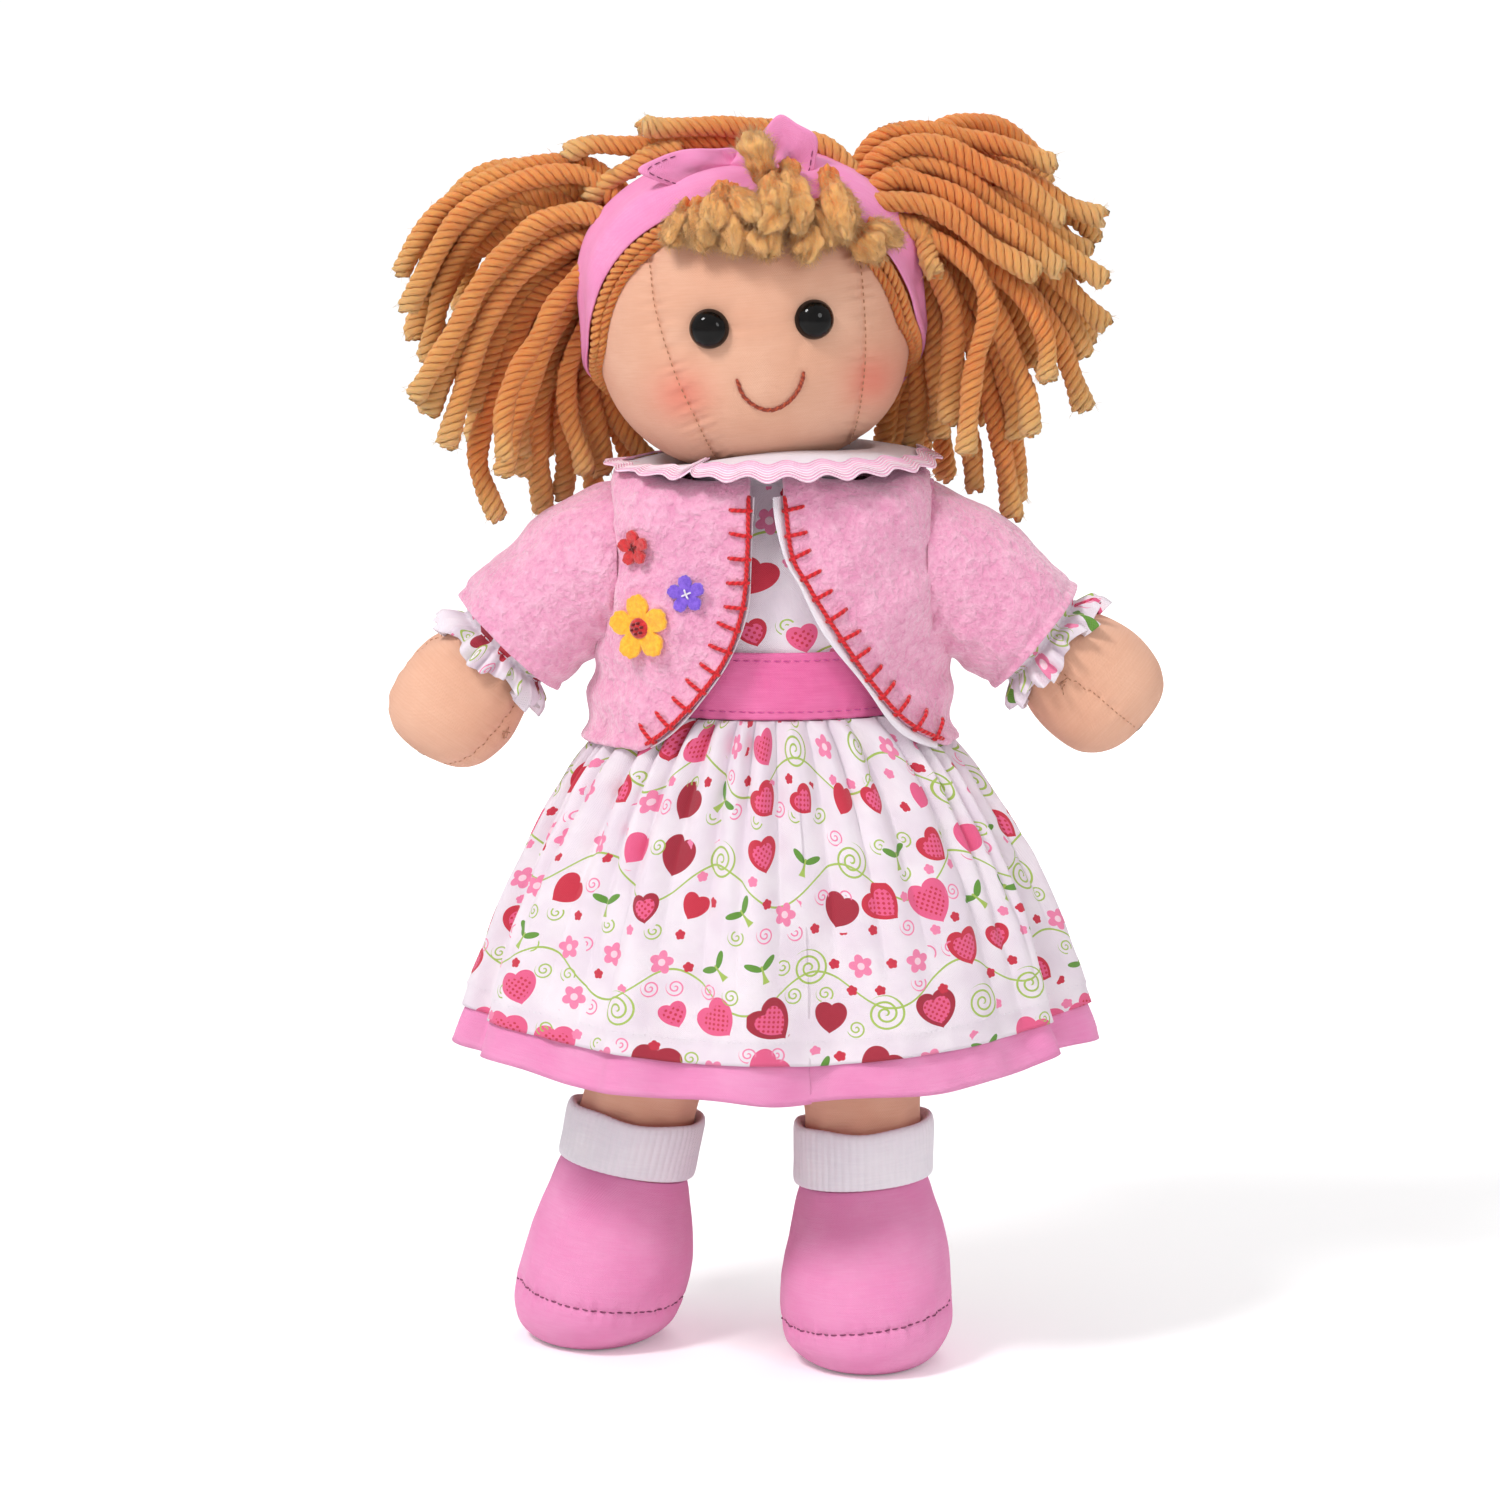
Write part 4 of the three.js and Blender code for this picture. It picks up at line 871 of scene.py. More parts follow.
def make_eyes():
    profile = ((3.9, 0.75), (4.8, 0.45), (5.1, 0), (5.12, -0.35), (4.95, -1.0), (4.55, -1.9), (3.9, -2.75),
            (3.0, -3.45), (1.9, -3.9), (0.9, -4.12), (0.3, -4.17))
    r, y = spline(profile, 40).T
    t = circle(64)
    for (name, side), (x, z) in zip(SIDES, EYES):
        seat = np.array([x, face_at(x, z) + 0.5, z])
        points = np.stack([r[:, None] * np.cos(t), y[:, None] + 0 * t, r[:, None] * np.sin(t)], 2)
        lean = math.radians(9) * side
        turned = points @ rotation(lean, 0, 1).T
        pile = Pile().grid(from_head(turned + seat), **CLOSED)
        show("eye_" + name + "_button", pile, BUTTON, "head", ("eye_" + name,))
        back = seat + (0, 5.2, 0)
        ringed = [(1.6, 0), (4.1, 0), (4.2, 0.5), (4.1, 1), (1.6, 1), (1.5, 0.5), (1.6, 0)]
        points = np.array([[[a * math.cos(k), b, a * math.sin(k)] for k in t] for a, b in ringed]) + back
        pile = Pile().grid(from_head(points), wrap=True, flip=True)
        show("washer_" + name, pile, WASHER, "head", ("eye_washer_" + name,))


# Hair

PLY_FLATNESS = 0.92
CORD = {"plies": 3, "pitch": 6.5, "frayed": (False, False)}


def yarn(pile, points, radius=2.9, plies=4, pitch=9.6, sides=7, step=1.15, frayed=(False, True), fibres=26):
    """A rope of twisted plies along a line. A frayed end is blunt, and its plies spread a little."""
    points = even(points, step)
    along, side, up = frames_along(points)
    run = np.linspace(0, (len(points) - 1) * step, len(points))
    turn = run * TURN / pitch + rng.uniform(0, TURN)
    thick = radius * (1 + 0.07 * np.sin(run * TURN / rng.uniform(14, 24) + rng.uniform(0, TURN)))
    spread = np.ones(len(points))
    ply_size = np.full(len(points), 0.64)
    tone = np.full(len(points), rng.uniform(0, 0.12))
    for at_end, is_frayed in enumerate(frayed):
        near = (run[-1] - run if at_end else run) / radius
        if is_frayed:
            spread += 0.25 * np.exp(-near / 0.9)
            ply_size += 0.1 * np.exp(-near / 0.8)
            tone = tone + rng.uniform(0.5, 0.9) * np.exp(-near / 2.0)
        ply_size *= np.sqrt(np.clip((near + 0.06) / 0.55, 0.12, 1))
    t = circle(sides)
    for k in range(plies):
        a = turn + TURN * k / plies
        off = np.cos(a)[:, None] * side + np.sin(a)[:, None] * up
        middle = points + off * (thick * 0.41 * spread)[:, None]
        if frayed[1]:
            middle[-1] += along[-1] * rng.uniform(-0.9, 0.9)
        across = np.cross(along, off)
        size = (thick * ply_size)[:, None, None]
        rows = middle[:, None] + size * spokes(t, off * PLY_FLATNESS, across)
        # painted light and shade: each ply is paler on its outer face and deeper where it faces the rope's
        # middle, between the plies
        painted_ply_shade = 0.45 * np.minimum(np.cos(t) - 0.1, 0.35)
        pile.grid(rows, tone=tone[:, None] + painted_ply_shade, **CLOSED)
    for _ in range(fibres):
        i = rng.integers(1, len(points) - 1)
        if frayed[1] and rng.random() < 0.3:
            i = len(points) - 2
        a = rng.uniform(0, TURN)
        off = math.cos(a) * side[i] + math.sin(a) * up[i]
        way = unit(along[i] * rng.uniform(0.3, 1) + off * rng.uniform(0.2, 0.9) + rng.normal(0, 0.25, 3))
        start = points[i] + off * thick[i] * 0.95
        bend = np.cross(way, along[i]) * rng.uniform(-1, 1)
        length = rng.uniform(1.0, 2.6)
        spots = np.array([start - way * 0.4, start + way * length * 0.5, start + way * length + bend * 0.6])
        hair(pile, spots, 0.055, tone[i])


def hair(pile, spots, radius, tone=0.0):
    """One loose fibre: a three-sided rod."""
    along, side, up = frames_along(spots)
    t = circle(3)
    thin = radius * np.linspace(1, 0.5, len(spots))[:, None, None]
    rows = spots[:, None] + thin * spokes(t, side, up)
    pile.grid(rows, wrap=True, tone=tone)


ROOT = np.array([41.5, 4.0, 25.0])
CROSSING = -5.0
RIM_LEAN, RIM_SKEW = 22.5, 0.07


def leaning_way(angle, degrees, skew=0.0):
    """Directions in a plane that leans forward about the ears, by their angle up from the doll's left."""
    lean = math.radians(degrees)
    across, up = np.cos(angle), np.sin(angle)
    return np.stack([across, -up * np.sin(lean) - skew * across, up * np.cos(lean)], -1)


def setback_line(angle, setback):
    """Where those directions start from: the plane turns back below the ears."""
    back = setback + 17 * smoothstep(0.12, -0.36, np.sin(angle))
    return np.stack([0 * angle, back, 0 * angle + CROSSING], -1)


def make_cap():
    grow = 2.2
    points = head_rings(-58, 84, 60, 120, grow)
    edge = -6.0 - (points[..., 2] - CROSSING) * math.tan(math.radians(RIM_LEAN)) - RIM_SKEW * points[..., 0]
    edge = edge + 24 * smoothstep(-2, -22, points[..., 2])
    points[..., 1] = np.maximum(points[..., 1], edge)
    far = how_far_out(points, HEAD_HALF + grow)
    points[..., :2] *= np.where(far > 1, 1 / np.maximum(far, 1) ** 0.5, 1)[..., None]
    pile = Pile().grid(from_head(points), wrap=True, caps=(False, True))

    for _, side in SIDES:
        for k, rise in enumerate(np.linspace(0, 1, 21)):
            back = mix(math.radians(108), math.radians(-38), rise)
            start = np.array([side * 0.035, math.cos(back), math.sin(back)])
            end = unit(np.array([side * 41.5, 4 + mix(-5, 7, rise), 25 + mix(5, -7, rise)]))
            s = np.linspace(0, 1, 26)[:, None]
            arc = math.acos(np.clip(start @ end, -1, 1))
            ways = (np.sin((1 - s) * arc) * start + np.sin(s * arc) * end) / math.sin(arc)
            ways += np.array([0, 0, -0.05]) * np.sin(math.pi * s) * (1 if back < 1 else 0)
            grow = 2.9 + 1.6 * s[:, 0] ** 3 + rng.uniform(-0.25, 0.35)
            line = head_shell(np.zeros(3), unit(ways), grow)
            yarn(pile, from_head(line), 2.75, sides=6, step=1.5, frayed=(False, False), fibres=8)

    # the parting, sewn down
    back = np.radians(np.linspace(104, -34, 60))
    ways = np.stack([0 * back, np.cos(back), np.sin(back)], 1)
    yarn(pile, from_head(head_shell(np.zeros(3), ways, np.full(60, 4.2))), 1.5, sides=6, fibres=10, **CORD)

    angle = np.linspace(math.radians(199), math.radians(-19), 100)
    for setback, lift, radius in ((-12.2, 0.5, 1.4), (-10.2, 1.6, 1.75)):
        rim = leaning_way(angle, RIM_LEAN, RIM_SKEW)
        line = head_shell(setback_line(angle, setback), rim, np.full(len(angle), lift))
        yarn(pile, from_head(line), radius, step=0.8, fibres=60, **CORD)
    show("hair_cap_yarn", pile, YARN, "head", ("hair_cap",))


def lock_line(side, rise, back, length, root, sway=0.0, end_degrees=80):
    """A strand's line: an even curve from its rise at the root to a steep fall."""
    start = -math.radians(rise)
    turn = math.radians(end_degrees) - start
    back = math.radians(back)
    s = np.linspace(0, 1, 40)
    angle = start + turn * s
    level = length * (np.sin(angle) - math.sin(start)) / turn
    down = length * (np.cos(angle) - math.cos(start)) / turn
    swing = sway * np.sin(s * math.pi * 1.3) * s
    cos, sin = math.cos(back), math.sin(back)
    return np.stack([side * (level * cos + swing * sin), level * sin - swing * cos, down], 1) + root


# x, y and z of seven points down each strand that shows from the front
STRANDS = {
    "right": (
        (-29, 7, 35, -39, 7, 44, -51, 8, 46, -65, 9, 43, -77, 10, 37, -85, 10, 29, -91, 11, 20),
        (-31, 2, 33, -40, 2, 42, -52, 2, 43, -64, 3, 40, -74, 3, 34, -81, 3, 25, -90, 4, 11),
        (-33, 10, 31, -43, 11, 38, -54, 12, 38, -64, 13, 34, -73, 15, 26, -80, 16, 15, -86, 17, -3),
        (-35, -3, 30, -42, -4, 33, -52, -4, 32, -61, -4, 26, -70, -5, 17, -78, -5, 5, -90, -5, -11),
        (-35, 2, 28, -44, 2, 30, -55, 2, 27, -63, 1, 20, -71, 1, 11, -78, 1, 0, -87, 1, -16),
        (-36, 0, 25, -44, -1, 26, -53, -1, 23, -62, -1, 16, -69, -2, 7, -75, -2, -5, -83, -3, -25),
        (-36, 6, 26, -46, 6, 23, -54, 7, 17, -61, 7, 9, -67, 7, 0, -72, 7, -9, -76, 7, -17),
        (-37, -3, 23, -43, -4, 18, -51, -4, 10, -57, -5, 1, -63, -6, -7, -67, -7, -17, -68, -7, -29),
        (-40, 4, 20, -53, 5, 13, -60, 6, 6, -65, 7, -5, -71, 8, -17, -75, 8, -30, -71, 9, -46),
        (-37, 5, 21, -47, 5, 10, -54, 4, 0, -59, 4, -10, -64, 4, -20, -66, 3, -26, -69, 3, -34),
        (-37, 8, 20, -44, 10, 11, -50, 12, 2, -55, 13, -9, -58, 15, -22, -59, 17, -34, -59, 18, -47),
        (-36, 12, 18, -42, 13, 8, -47, 15, -4, -50, 16, -15, -52, 17, -25, -52, 19, -35, -54, 20, -43),
        (-36, 2, 17, -41, 3, 6, -48, 5, -5, -50, 6, -13, -50, 7, -21, -48, 8, -29, -47, 9, -36),
        (-35, 10, 15, -39, 11, 4, -43, 13, -7, -44, 14, -16, -43, 15, -24, -42, 16, -31, -43, 17, -37),
        (-34, 11, 13, -37, 13, 2, -40, 15, -8, -39, 17, -18, -36, 18, -25, -32, 20, -32, -29, 22, -36),
        (-34, 14, 12, -38, 14, 4, -44, 14, -4, -53, 14, -10, -60, 14, -16, -63, 14, -24, -64, 13, -31),
        (-34, 18, 24, -45, 19, 34, -57, 21, 37, -70, 23, 30, -77, 24, 22, -80, 25, 15, -84, 26, 6),
        (-33, 16, 28, -40, 17, 37, -51, 18, 41, -61, 19, 40, -69, 20, 36, -76, 21, 30, -80, 22, 25),
        (-35, 14, 14, -39, 17, 4, -41, 20, -8, -40, 23, -18, -37, 25, -27, -35, 27, -35, -34, 28, -42),
        (-35, 17, 14, -40, 21, 2, -44, 24, -10, -46, 26, -20, -46, 28, -30, -45, 29, -38, -45, 30, -46),
    ),
    "left": (
        (28, 2, 32, 31, 1, 39, 39, 0, 46, 49, -1, 46, 60, -1, 43, 72, -2, 39, 82, -3, 34),
        (29, -4, 32, 36, -5, 40, 45, -6, 43, 54, -7, 41, 62, -8, 36, 72, -9, 30, 82, -10, 20),
        (31, 3, 31, 41, 3, 38, 54, 3, 39, 67, 2, 35, 78, 2, 28, 85, 1, 23, 94, 1, 19),
        (31, -5, 30, 40, -5, 37, 50, -6, 37, 59, -7, 32, 67, -7, 24, 78, -8, 15, 92, -9, 3),
        (31, -10, 30, 38, -11, 35, 46, -11, 33, 54, -12, 29, 62, -13, 23, 71, -14, 16, 80, -15, 7),
        (31, -14, 29, 40, -15, 29, 48, -16, 27, 55, -16, 22, 61, -17, 16, 68, -18, 11, 74, -19, 7),
        (33, 6, 28, 46, 6, 32, 60, 6, 29, 71, 5, 24, 80, 5, 17, 85, 5, 13, 90, 5, 10),
        (35, 0, 27, 48, 0, 25, 61, -1, 20, 72, -1, 13, 80, -1, 5, 86, -2, -2, 92, -2, -9),
        (36, 4, 25, 50, 4, 22, 64, 4, 16, 74, 4, 8, 80, 4, -1, 84, 4, -9, 86, 5, -17),
        (35, -7, 24, 47, -8, 21, 57, -9, 15, 66, -10, 6, 72, -11, -2, 75, -11, -11, 74, -12, -21),
        (36, 1, 24, 50, 1, 20, 63, 1, 11, 73, 1, 0, 79, 1, -10, 82, 1, -20, 85, 2, -31),
        (36, -12, 25, 44, -13, 21, 53, -14, 15, 59, -16, 7, 60, -16, -2, 55, -17, -16, 51, -18, -38),
        (36, -2, 23, 48, -3, 18, 58, -5, 10, 63, -6, -2, 66, -7, -14, 69, -9, -24, 69, -10, -35),
        (37, 3, 22, 48, 2, 15, 57, 2, 4, 62, 1, -7, 64, 1, -17, 66, 1, -27, 66, 1, -37),
        (36, -7, 23, 43, -8, 17, 48, -9, 10, 51, -9, 1, 51, -10, -8, 49, -10, -20, 48, -11, -30),
        (37, 0, 21, 43, 0, 13, 45, 1, 3, 47, 2, -7, 47, 2, -17, 47, 3, -26, 46, 4, -35),
        (38, 4, 18, 41, 5, 7, 42, 6, -3, 42, 7, -14, 42, 8, -23, 41, 9, -31, 39, 10, -38),
        (38, 2, 21, 48, 2, 11, 55, 2, -3, 59, 3, -16, 61, 3, -28, 63, 4, -43, 64, 5, -58),
        (38, 8, 21, 50, 8, 8, 60, 9, -8, 64, 10, -23, 66, 11, -36, 67, 11, -46, 66, 13, -54),
        (38, 7, 21, 46, 7, 8, 51, 7, -6, 53, 8, -20, 54, 8, -31, 55, 9, -40, 55, 9, -50),
        (34, -11, 25, 41, -12, 23, 45, -13, 21, 46, -13, 17, 46, -14, 13, 47, -15, 11, 47, -16, 9),
        (36, 12, 25, 52, 12, 23, 67, 12, 18, 78, 13, 10, 84, 14, 2, 87, 14, -7, 89, 15, -14),
        (35, 12, 29, 48, 12, 33, 63, 12, 33, 76, 12, 28, 85, 12, 22, 91, 13, 16, 92, 13, 12),
        (36, 12, 14, 39, 15, 4, 41, 18, -8, 41, 21, -18, 39, 23, -27, 37, 25, -35, 36, 27, -42),
        (36, 15, 14, 41, 19, 2, 45, 22, -10, 47, 24, -20, 48, 26, -30, 49, 28, -40, 49, 30, -48),
        (37, 8, 16, 40, 11, 6, 42, 13, -4, 40, 16, -14, 36, 19, -23, 34, 22, -31, 33, 24, -37),
    ),
}
# strands behind those: degrees above level at the root, degrees back from the side, share of the length
LOCKS = (
    (70, 14, 0.98), (62, 32, 1), (50, 56, 1), (44, 12, 1), (30, 42, 1.05), (16, 16, 1), (12, 64, 1),
    (-6, 40, 1.02), (-14, 16, 1), (-26, 62, 1), (-46, 44, 1), (-40, 20, 1.02), (-62, 66, 1),
)


LOCK_LENGTH = 62


def make_bunch(name, side):
    """The strands that show from the front, from root to end, and then those behind them."""
    pile = Pile()
    for rows in STRANDS[name]:
        yarn(pile, from_head(spline(np.reshape(rows, (-1, 3)), 70)), rng.uniform(2.75, 3.15), fibres=40)
    for rise, back, share in LOCKS:
        for k in range(2):
            a = math.pi * (k + rng.uniform(-0.1, 0.1))
            cos, sin = math.cos(a), math.sin(a)
            root = (ROOT + np.array([-2.0, 5 + 3 * sin, 3.5 * cos])) * (side, 1, 1)
            length = LOCK_LENGTH * share * rng.uniform(0.94, 1.05)
            line = lock_line(side, rise + 9 * cos, back + 10 * sin, length, root, rng.uniform(-4, 4),
                             80 + rng.uniform(-8, 6))
            yarn(pile, from_head(line), rng.uniform(2.8, 3.1), sides=6, fibres=30)
    show("bunch_" + name + "_strands", pile, YARN, "bunch_" + name, ("bunch_" + name,))


TUFTS = (
    ((-15.1, -24, 33.4), (-21.3, -31, 24.1), 3.4), ((-11.9, -26, 33.4), (-12.2, -35.5, 22.3), 4.2),
    ((-6.6, -26.5, 36.9), (-10.2, -37.8, 26.8), 4), ((-3.3, -28, 32.6), (-4.8, -37.5, 21.2), 4.4),
    ((0.7, -29.7, 29.8), (3.4, -38.5, 19), 4.6), ((5.2, -27.5, 37.5), (3.2, -27, 50.5), 4.2),
    ((5.5, -26, 40.4), (6.1, -38, 28.8), 4), ((11.2, -21, 41.2), (12.1, -39, 24.8), 4.4),
    ((13, -28.5, 28.6), (13, -37.2, 17.6), 3.8), ((21.2, -20, 37.8), (23.5, -35.5, 21.6), 4.4),
    ((17.2, -25.6, 30.6), (19.7, -34, 20.6), 3.8), ((25.8, -25, 24.7), (32.6, -28, 15.7), 4.2),
    ((29.8, -25.3, 24.3), (38.2, -24, 19.5), 3.1), ((25, -19, 32.2), (25.3, -30.6, 22.4), 3.6),
    ((-4.2, -28, 36.5), (0.9, -38.5, 27.6), 4), ((11, -28.4, 35.1), (1.8, -40, 25), 3.8),
    ((-12.4, -27, 30.8), (-15.7, -33, 25), 3.4),
)


def make_fringe():
    """Short ends of yarn, each teased out into a woolly tuft."""
    pile = Pile()
    for root, tip, radius in TUFTS:
        root, tip = np.array(root, float), np.array(tip, float)
        s = np.linspace(0, 1, 36)[:, None]
        way = unit(tip - root)
        knee = (root + tip) / 2 + np.array([rng.uniform(-1.5, 1.5), -2.5, 0.8])
        line = root * (1 - s) ** 2 + 2 * knee * s * (1 - s) + tip * s**2
        along, side, up = frames_along(line)
        t = circle(32)
        closing = np.sqrt(np.clip((1.005 - s[:, 0]) / 0.3, 0.001, 1))
        size = radius * mix(0.62, 1.0, smoothstep(0.1, 0.65, s[:, 0])) * closing
        rows = line[:, None] + size[:, None, None] * spokes(t, side, up)
        wool = np.stack([np.cos(t) + 0 * s, np.sin(t) + 0 * s, 0 * t + s * 1.1], -1) * radius
        streaks = ripple(wool + root, 3.4) * 0.85 + ripple(wool + tip, 1.6) * 0.3 + ripple(rows, 2.2) * 0.2
        rows = rows + normals_of(rows, True) * streaks[..., None]
        rows = soften(rows, 5.0, 0.8)
        # painted light and shade: the tone is deeper at the root and in the streaks' grooves and paler on
        # their ridges; the tip is also paler as a teased end
        pile.grid(from_head(rows), wrap=True, caps=(True, True), tone=mix(0.1, 0.7, s) + streaks * 0.22)
        for _ in range(1250):
            i, j = rng.integers(3, len(line)), rng.integers(0, len(t))
            start = rows[i, j]
            out = unit(start - line[max(i - 4, 0)])
            turn = unit(out * 0.8 + rng.normal(0, 0.6, 3) + way * 0.7)
            spots = np.array([start - turn * 0.3, start + turn * rng.uniform(0.5, 2.7)])
            hair(pile, from_head(spots), 0.055, 0.8)
    show("fringe_tufts", pile, YARN, "head", ("fringe",))

    # strands that stray over the top of the head
    pile = Pile()
    strays = (
        [[16, 3, 47], [10, 1, 50], [2, 1, 51], [-5, 0, 52], [-13, -1, 52.5], [-21, -2, 53], [-25, -3, 54.5]],
        [[12, 5, 45], [6, 4, 47], [-3, 4, 48], [-12, 4, 48], [-21, 4, 48], [-30, 4, 49], [-38, 4, 50],
         [-45, 4, 48]],
        [[8, 2, 47], [16, 1, 46.5], [23, 0, 44], [28, -1, 39], [33, -2, 32]],
        [[-14, -1, 47], [-22, -1, 46.5], [-27, 0, 43.5], [-33, 1, 41], [-40, 3, 36]],
    )
    for line in strays:
        yarn(pile, from_head(spline(line, 50)), 2.8, frayed=(False, True), fibres=30)
    show("stray_strands", pile, YARN, "head")


# Headband and bow

def make_headband():
    angle = np.linspace(math.radians(203), math.radians(-23), 230)
    s = np.linspace(0, 1, 26)
    rows = []
    for share in s[::-1]:
        lean, skew = mix(RIM_LEAN, 0.8, share), RIM_SKEW * (1 - share)
        centre = setback_line(angle, mix(-9.5, 2.6, share))
        lift = mix(3.0, 6.3, math.sin(min(share / 0.6, 1) * math.pi / 2)) + 0.4 * math.sin(math.pi * share)
        lift = mix(lift, 2.9 + 0.5 * share, smoothstep(0.62, 0.2, np.sin(angle)))
        rows.append(head_shell(centre, leaning_way(angle, lean, skew), lift))
    points = np.array(rows)
    out = normals_of(points, False)
    if (out[..., 2] * (points[..., 2] > 20)).sum() < 0:
        out = -out
    folds = np.sin(s[::-1][:, None] * 13 + 2.2 * np.sin(angle * 2.3)[None]) * 0.4
    folds = folds + ripple(points, 16) * 0.35
    top = bell(angle - math.pi / 2, 0.35)[None]
    folds = folds + top * np.sin(s[:, None] * TURN * 3.2) * 0.55
    points = points + out * folds[..., None]
    pile = Pile().grid(from_head(points))
    piece = show("headband_cloth", pile, PINK, "head", ("headband",), 0.7, 1)
    area = sheet_area(points)

    centre = np.array([2.5, -15.0, 42.0])
    t = circle(48)
    lat = np.radians(np.linspace(-84, 84, 30))
    ball = ring(np.cos(lat) * 5.6, np.cos(lat) * 5.2, np.sin(lat) * 4.7, 48)
    pinch = np.cos(np.arctan2(ball[..., 2], ball[..., 1]) * 5 + ball[..., 0] * 0.25) * 0.35
    ball = ball + normals_of(ball, True) * pinch[..., None]
    piece = show("bow_knot_cloth", Pile().grid(from_head(ball + centre), **CLOSED), PINK, "head",
                 ("bow_knot",))

    ears = {
        "right": ([(-0.9, 38.8), (-1, 46), (-6.6, 46.9), (-14.8, 47.4), (-22.2, 45.8), (-27.2, 43.2),
                   (-21.4, 39.5), (-12.2, 36.2), (-1.7, 35.5)], (-0.5, 41.5), 0.06, 34.5),
        "left": ([(5.9, 50.2), (10.6, 54.2), (15, 51.4), (19.7, 47.7), (19, 41.6), (17.4, 37.4), (13, 34.4),
                  (7.1, 34.9), (4.2, 42.9)], (5, 40), -0.04, 55),
    }
    for name, (outline, pinch, lean, crease) in ears.items():
        outline = np.array(outline + outline[:1], float)
        outline = even(np.c_[spline(outline, 200), np.zeros(200)], 0.75)[:-1, :2]
        middle = outline.mean(0)
        inwards = np.linspace(0.92, 0.03, 18)
        share = np.concatenate([inwards[::-1], [0.97, 1.0, 0.97], inwards])
        face = np.concatenate([-np.ones(19), [0], np.ones(19)])
        flat = middle + share[:, None, None] * (outline - middle)
        thick = (0.5 + 1.1 * np.sqrt(1 - share**2.0)) * np.abs(face)
        across, up = flat[..., 0] - pinch[0], flat[..., 1] - pinch[1]
        angle, far = np.arctan2(up, across), np.hypot(up, across)
        folds = 0.75 * np.sin(angle * 8 + 0.9 * np.sin(far * 0.25))
        folds = folds * smoothstep(26, 2, far) * smoothstep(0, 3, far)
        folds = folds + 0.9 * bell(flat @ np.array([0.5, 0.86]) - crease, 1.5)
        deep = -15.5 + lean * across * 2 + folds + (face * thick)[:, None]
        points = np.stack([flat[..., 0], deep, flat[..., 1]], -1)
        points[..., 1] += ripple(points * (1, 0, 1), 9) * 0.35
        pile = Pile().grid(from_head(points), **CLOSED)
        fix_faces(pile)
        piece = show("bow_ear_" + name + "_cloth", pile, PINK, "head", ("bow_ear_" + name,),
                     levels=1)
        pile = Pile()
        sewn = np.arange(int(len(outline) * 0.62)) + int(len(outline) * 0.38)
        run = points[15][sewn % len(outline)] - 0.12 * Y
        stitches(pile, from_head(run), 1.4, 0.8, 0.15, None, 0)
        show("bow_stitches_" + name, pile, DARK_THREAD, "head")


def fix_faces(pile):
    """Turns the faces of a closed piece outwards if they point in."""
    points = np.concatenate(pile.points)
    middle = points.mean(0)
    total = 0.0
    for faces in pile.faces:
        corners = points[faces] - middle
        total += np.einsum("ij,ij->i", corners[:, 0], np.cross(corners[:, 1], corners[:, 2])).sum()
    if total < 0:
        pile.faces = [faces[:, ::-1] for faces in pile.faces]
        pile.places = [places[:, ::-1] for places in pile.places]


# Arms and sleeves

SHOULDER = 218.0
ARM_SEAM = 34.3
SLEEVE_SEAM = 40.3
ELASTIC, FRILL_START, SLEEVE_END = 0.568, 0.572, 0.642
FLEECE_END = 0.547
# side, length, and degrees below level at the shoulder and at the hand
ARMS = {"right": (-1, 82.4, 31.0, 58.0), "left": (1, 80.6, 34.0, 43.6)}


def across_arm(name, share, a, b, count):
    """Rings across an arm at shares of its length, from the shoulder out, with the arm's middle."""
    side, length, first, last = ARMS[name]
    share = np.asarray(share, float)
    start = math.radians(first)
    turn = math.radians(last) - start
    angle = start + turn * share
    out = ARM_SEAM + length * (np.sin(angle) - math.sin(start)) / turn
    down = length * (np.cos(angle) - math.cos(start)) / turn
    middle = np.stack([side * out, 0 * out, SHOULDER + down], 1)
    square = angle * smoothstep(0, 0.3, share)
    over = np.stack([side * np.sin(square), 0 * square, np.cos(square)], 1)
    t = circle(count)
    return ellipses(middle, over, a, b, t), middle, t


ARM_TABLE = spline(
    [[1.002, 0.02, 0.02], [0.995, 0.32, 0.32], [0.978, 0.58, 0.56], [0.945, 0.79, 0.77], [0.89, 0.95, 0.93],
     [0.8, 1.01, 1.0], [0.7, 0.96, 0.96], [0.62, 0.82, 0.88], [0.55, 0.7, 0.82], [0.42, 0.72, 0.86],
     [0.22, 0.64, 0.8], [0.1, 0.5, 0.62], [0.02, 0.42, 0.48]],
    130,
)[::-1]


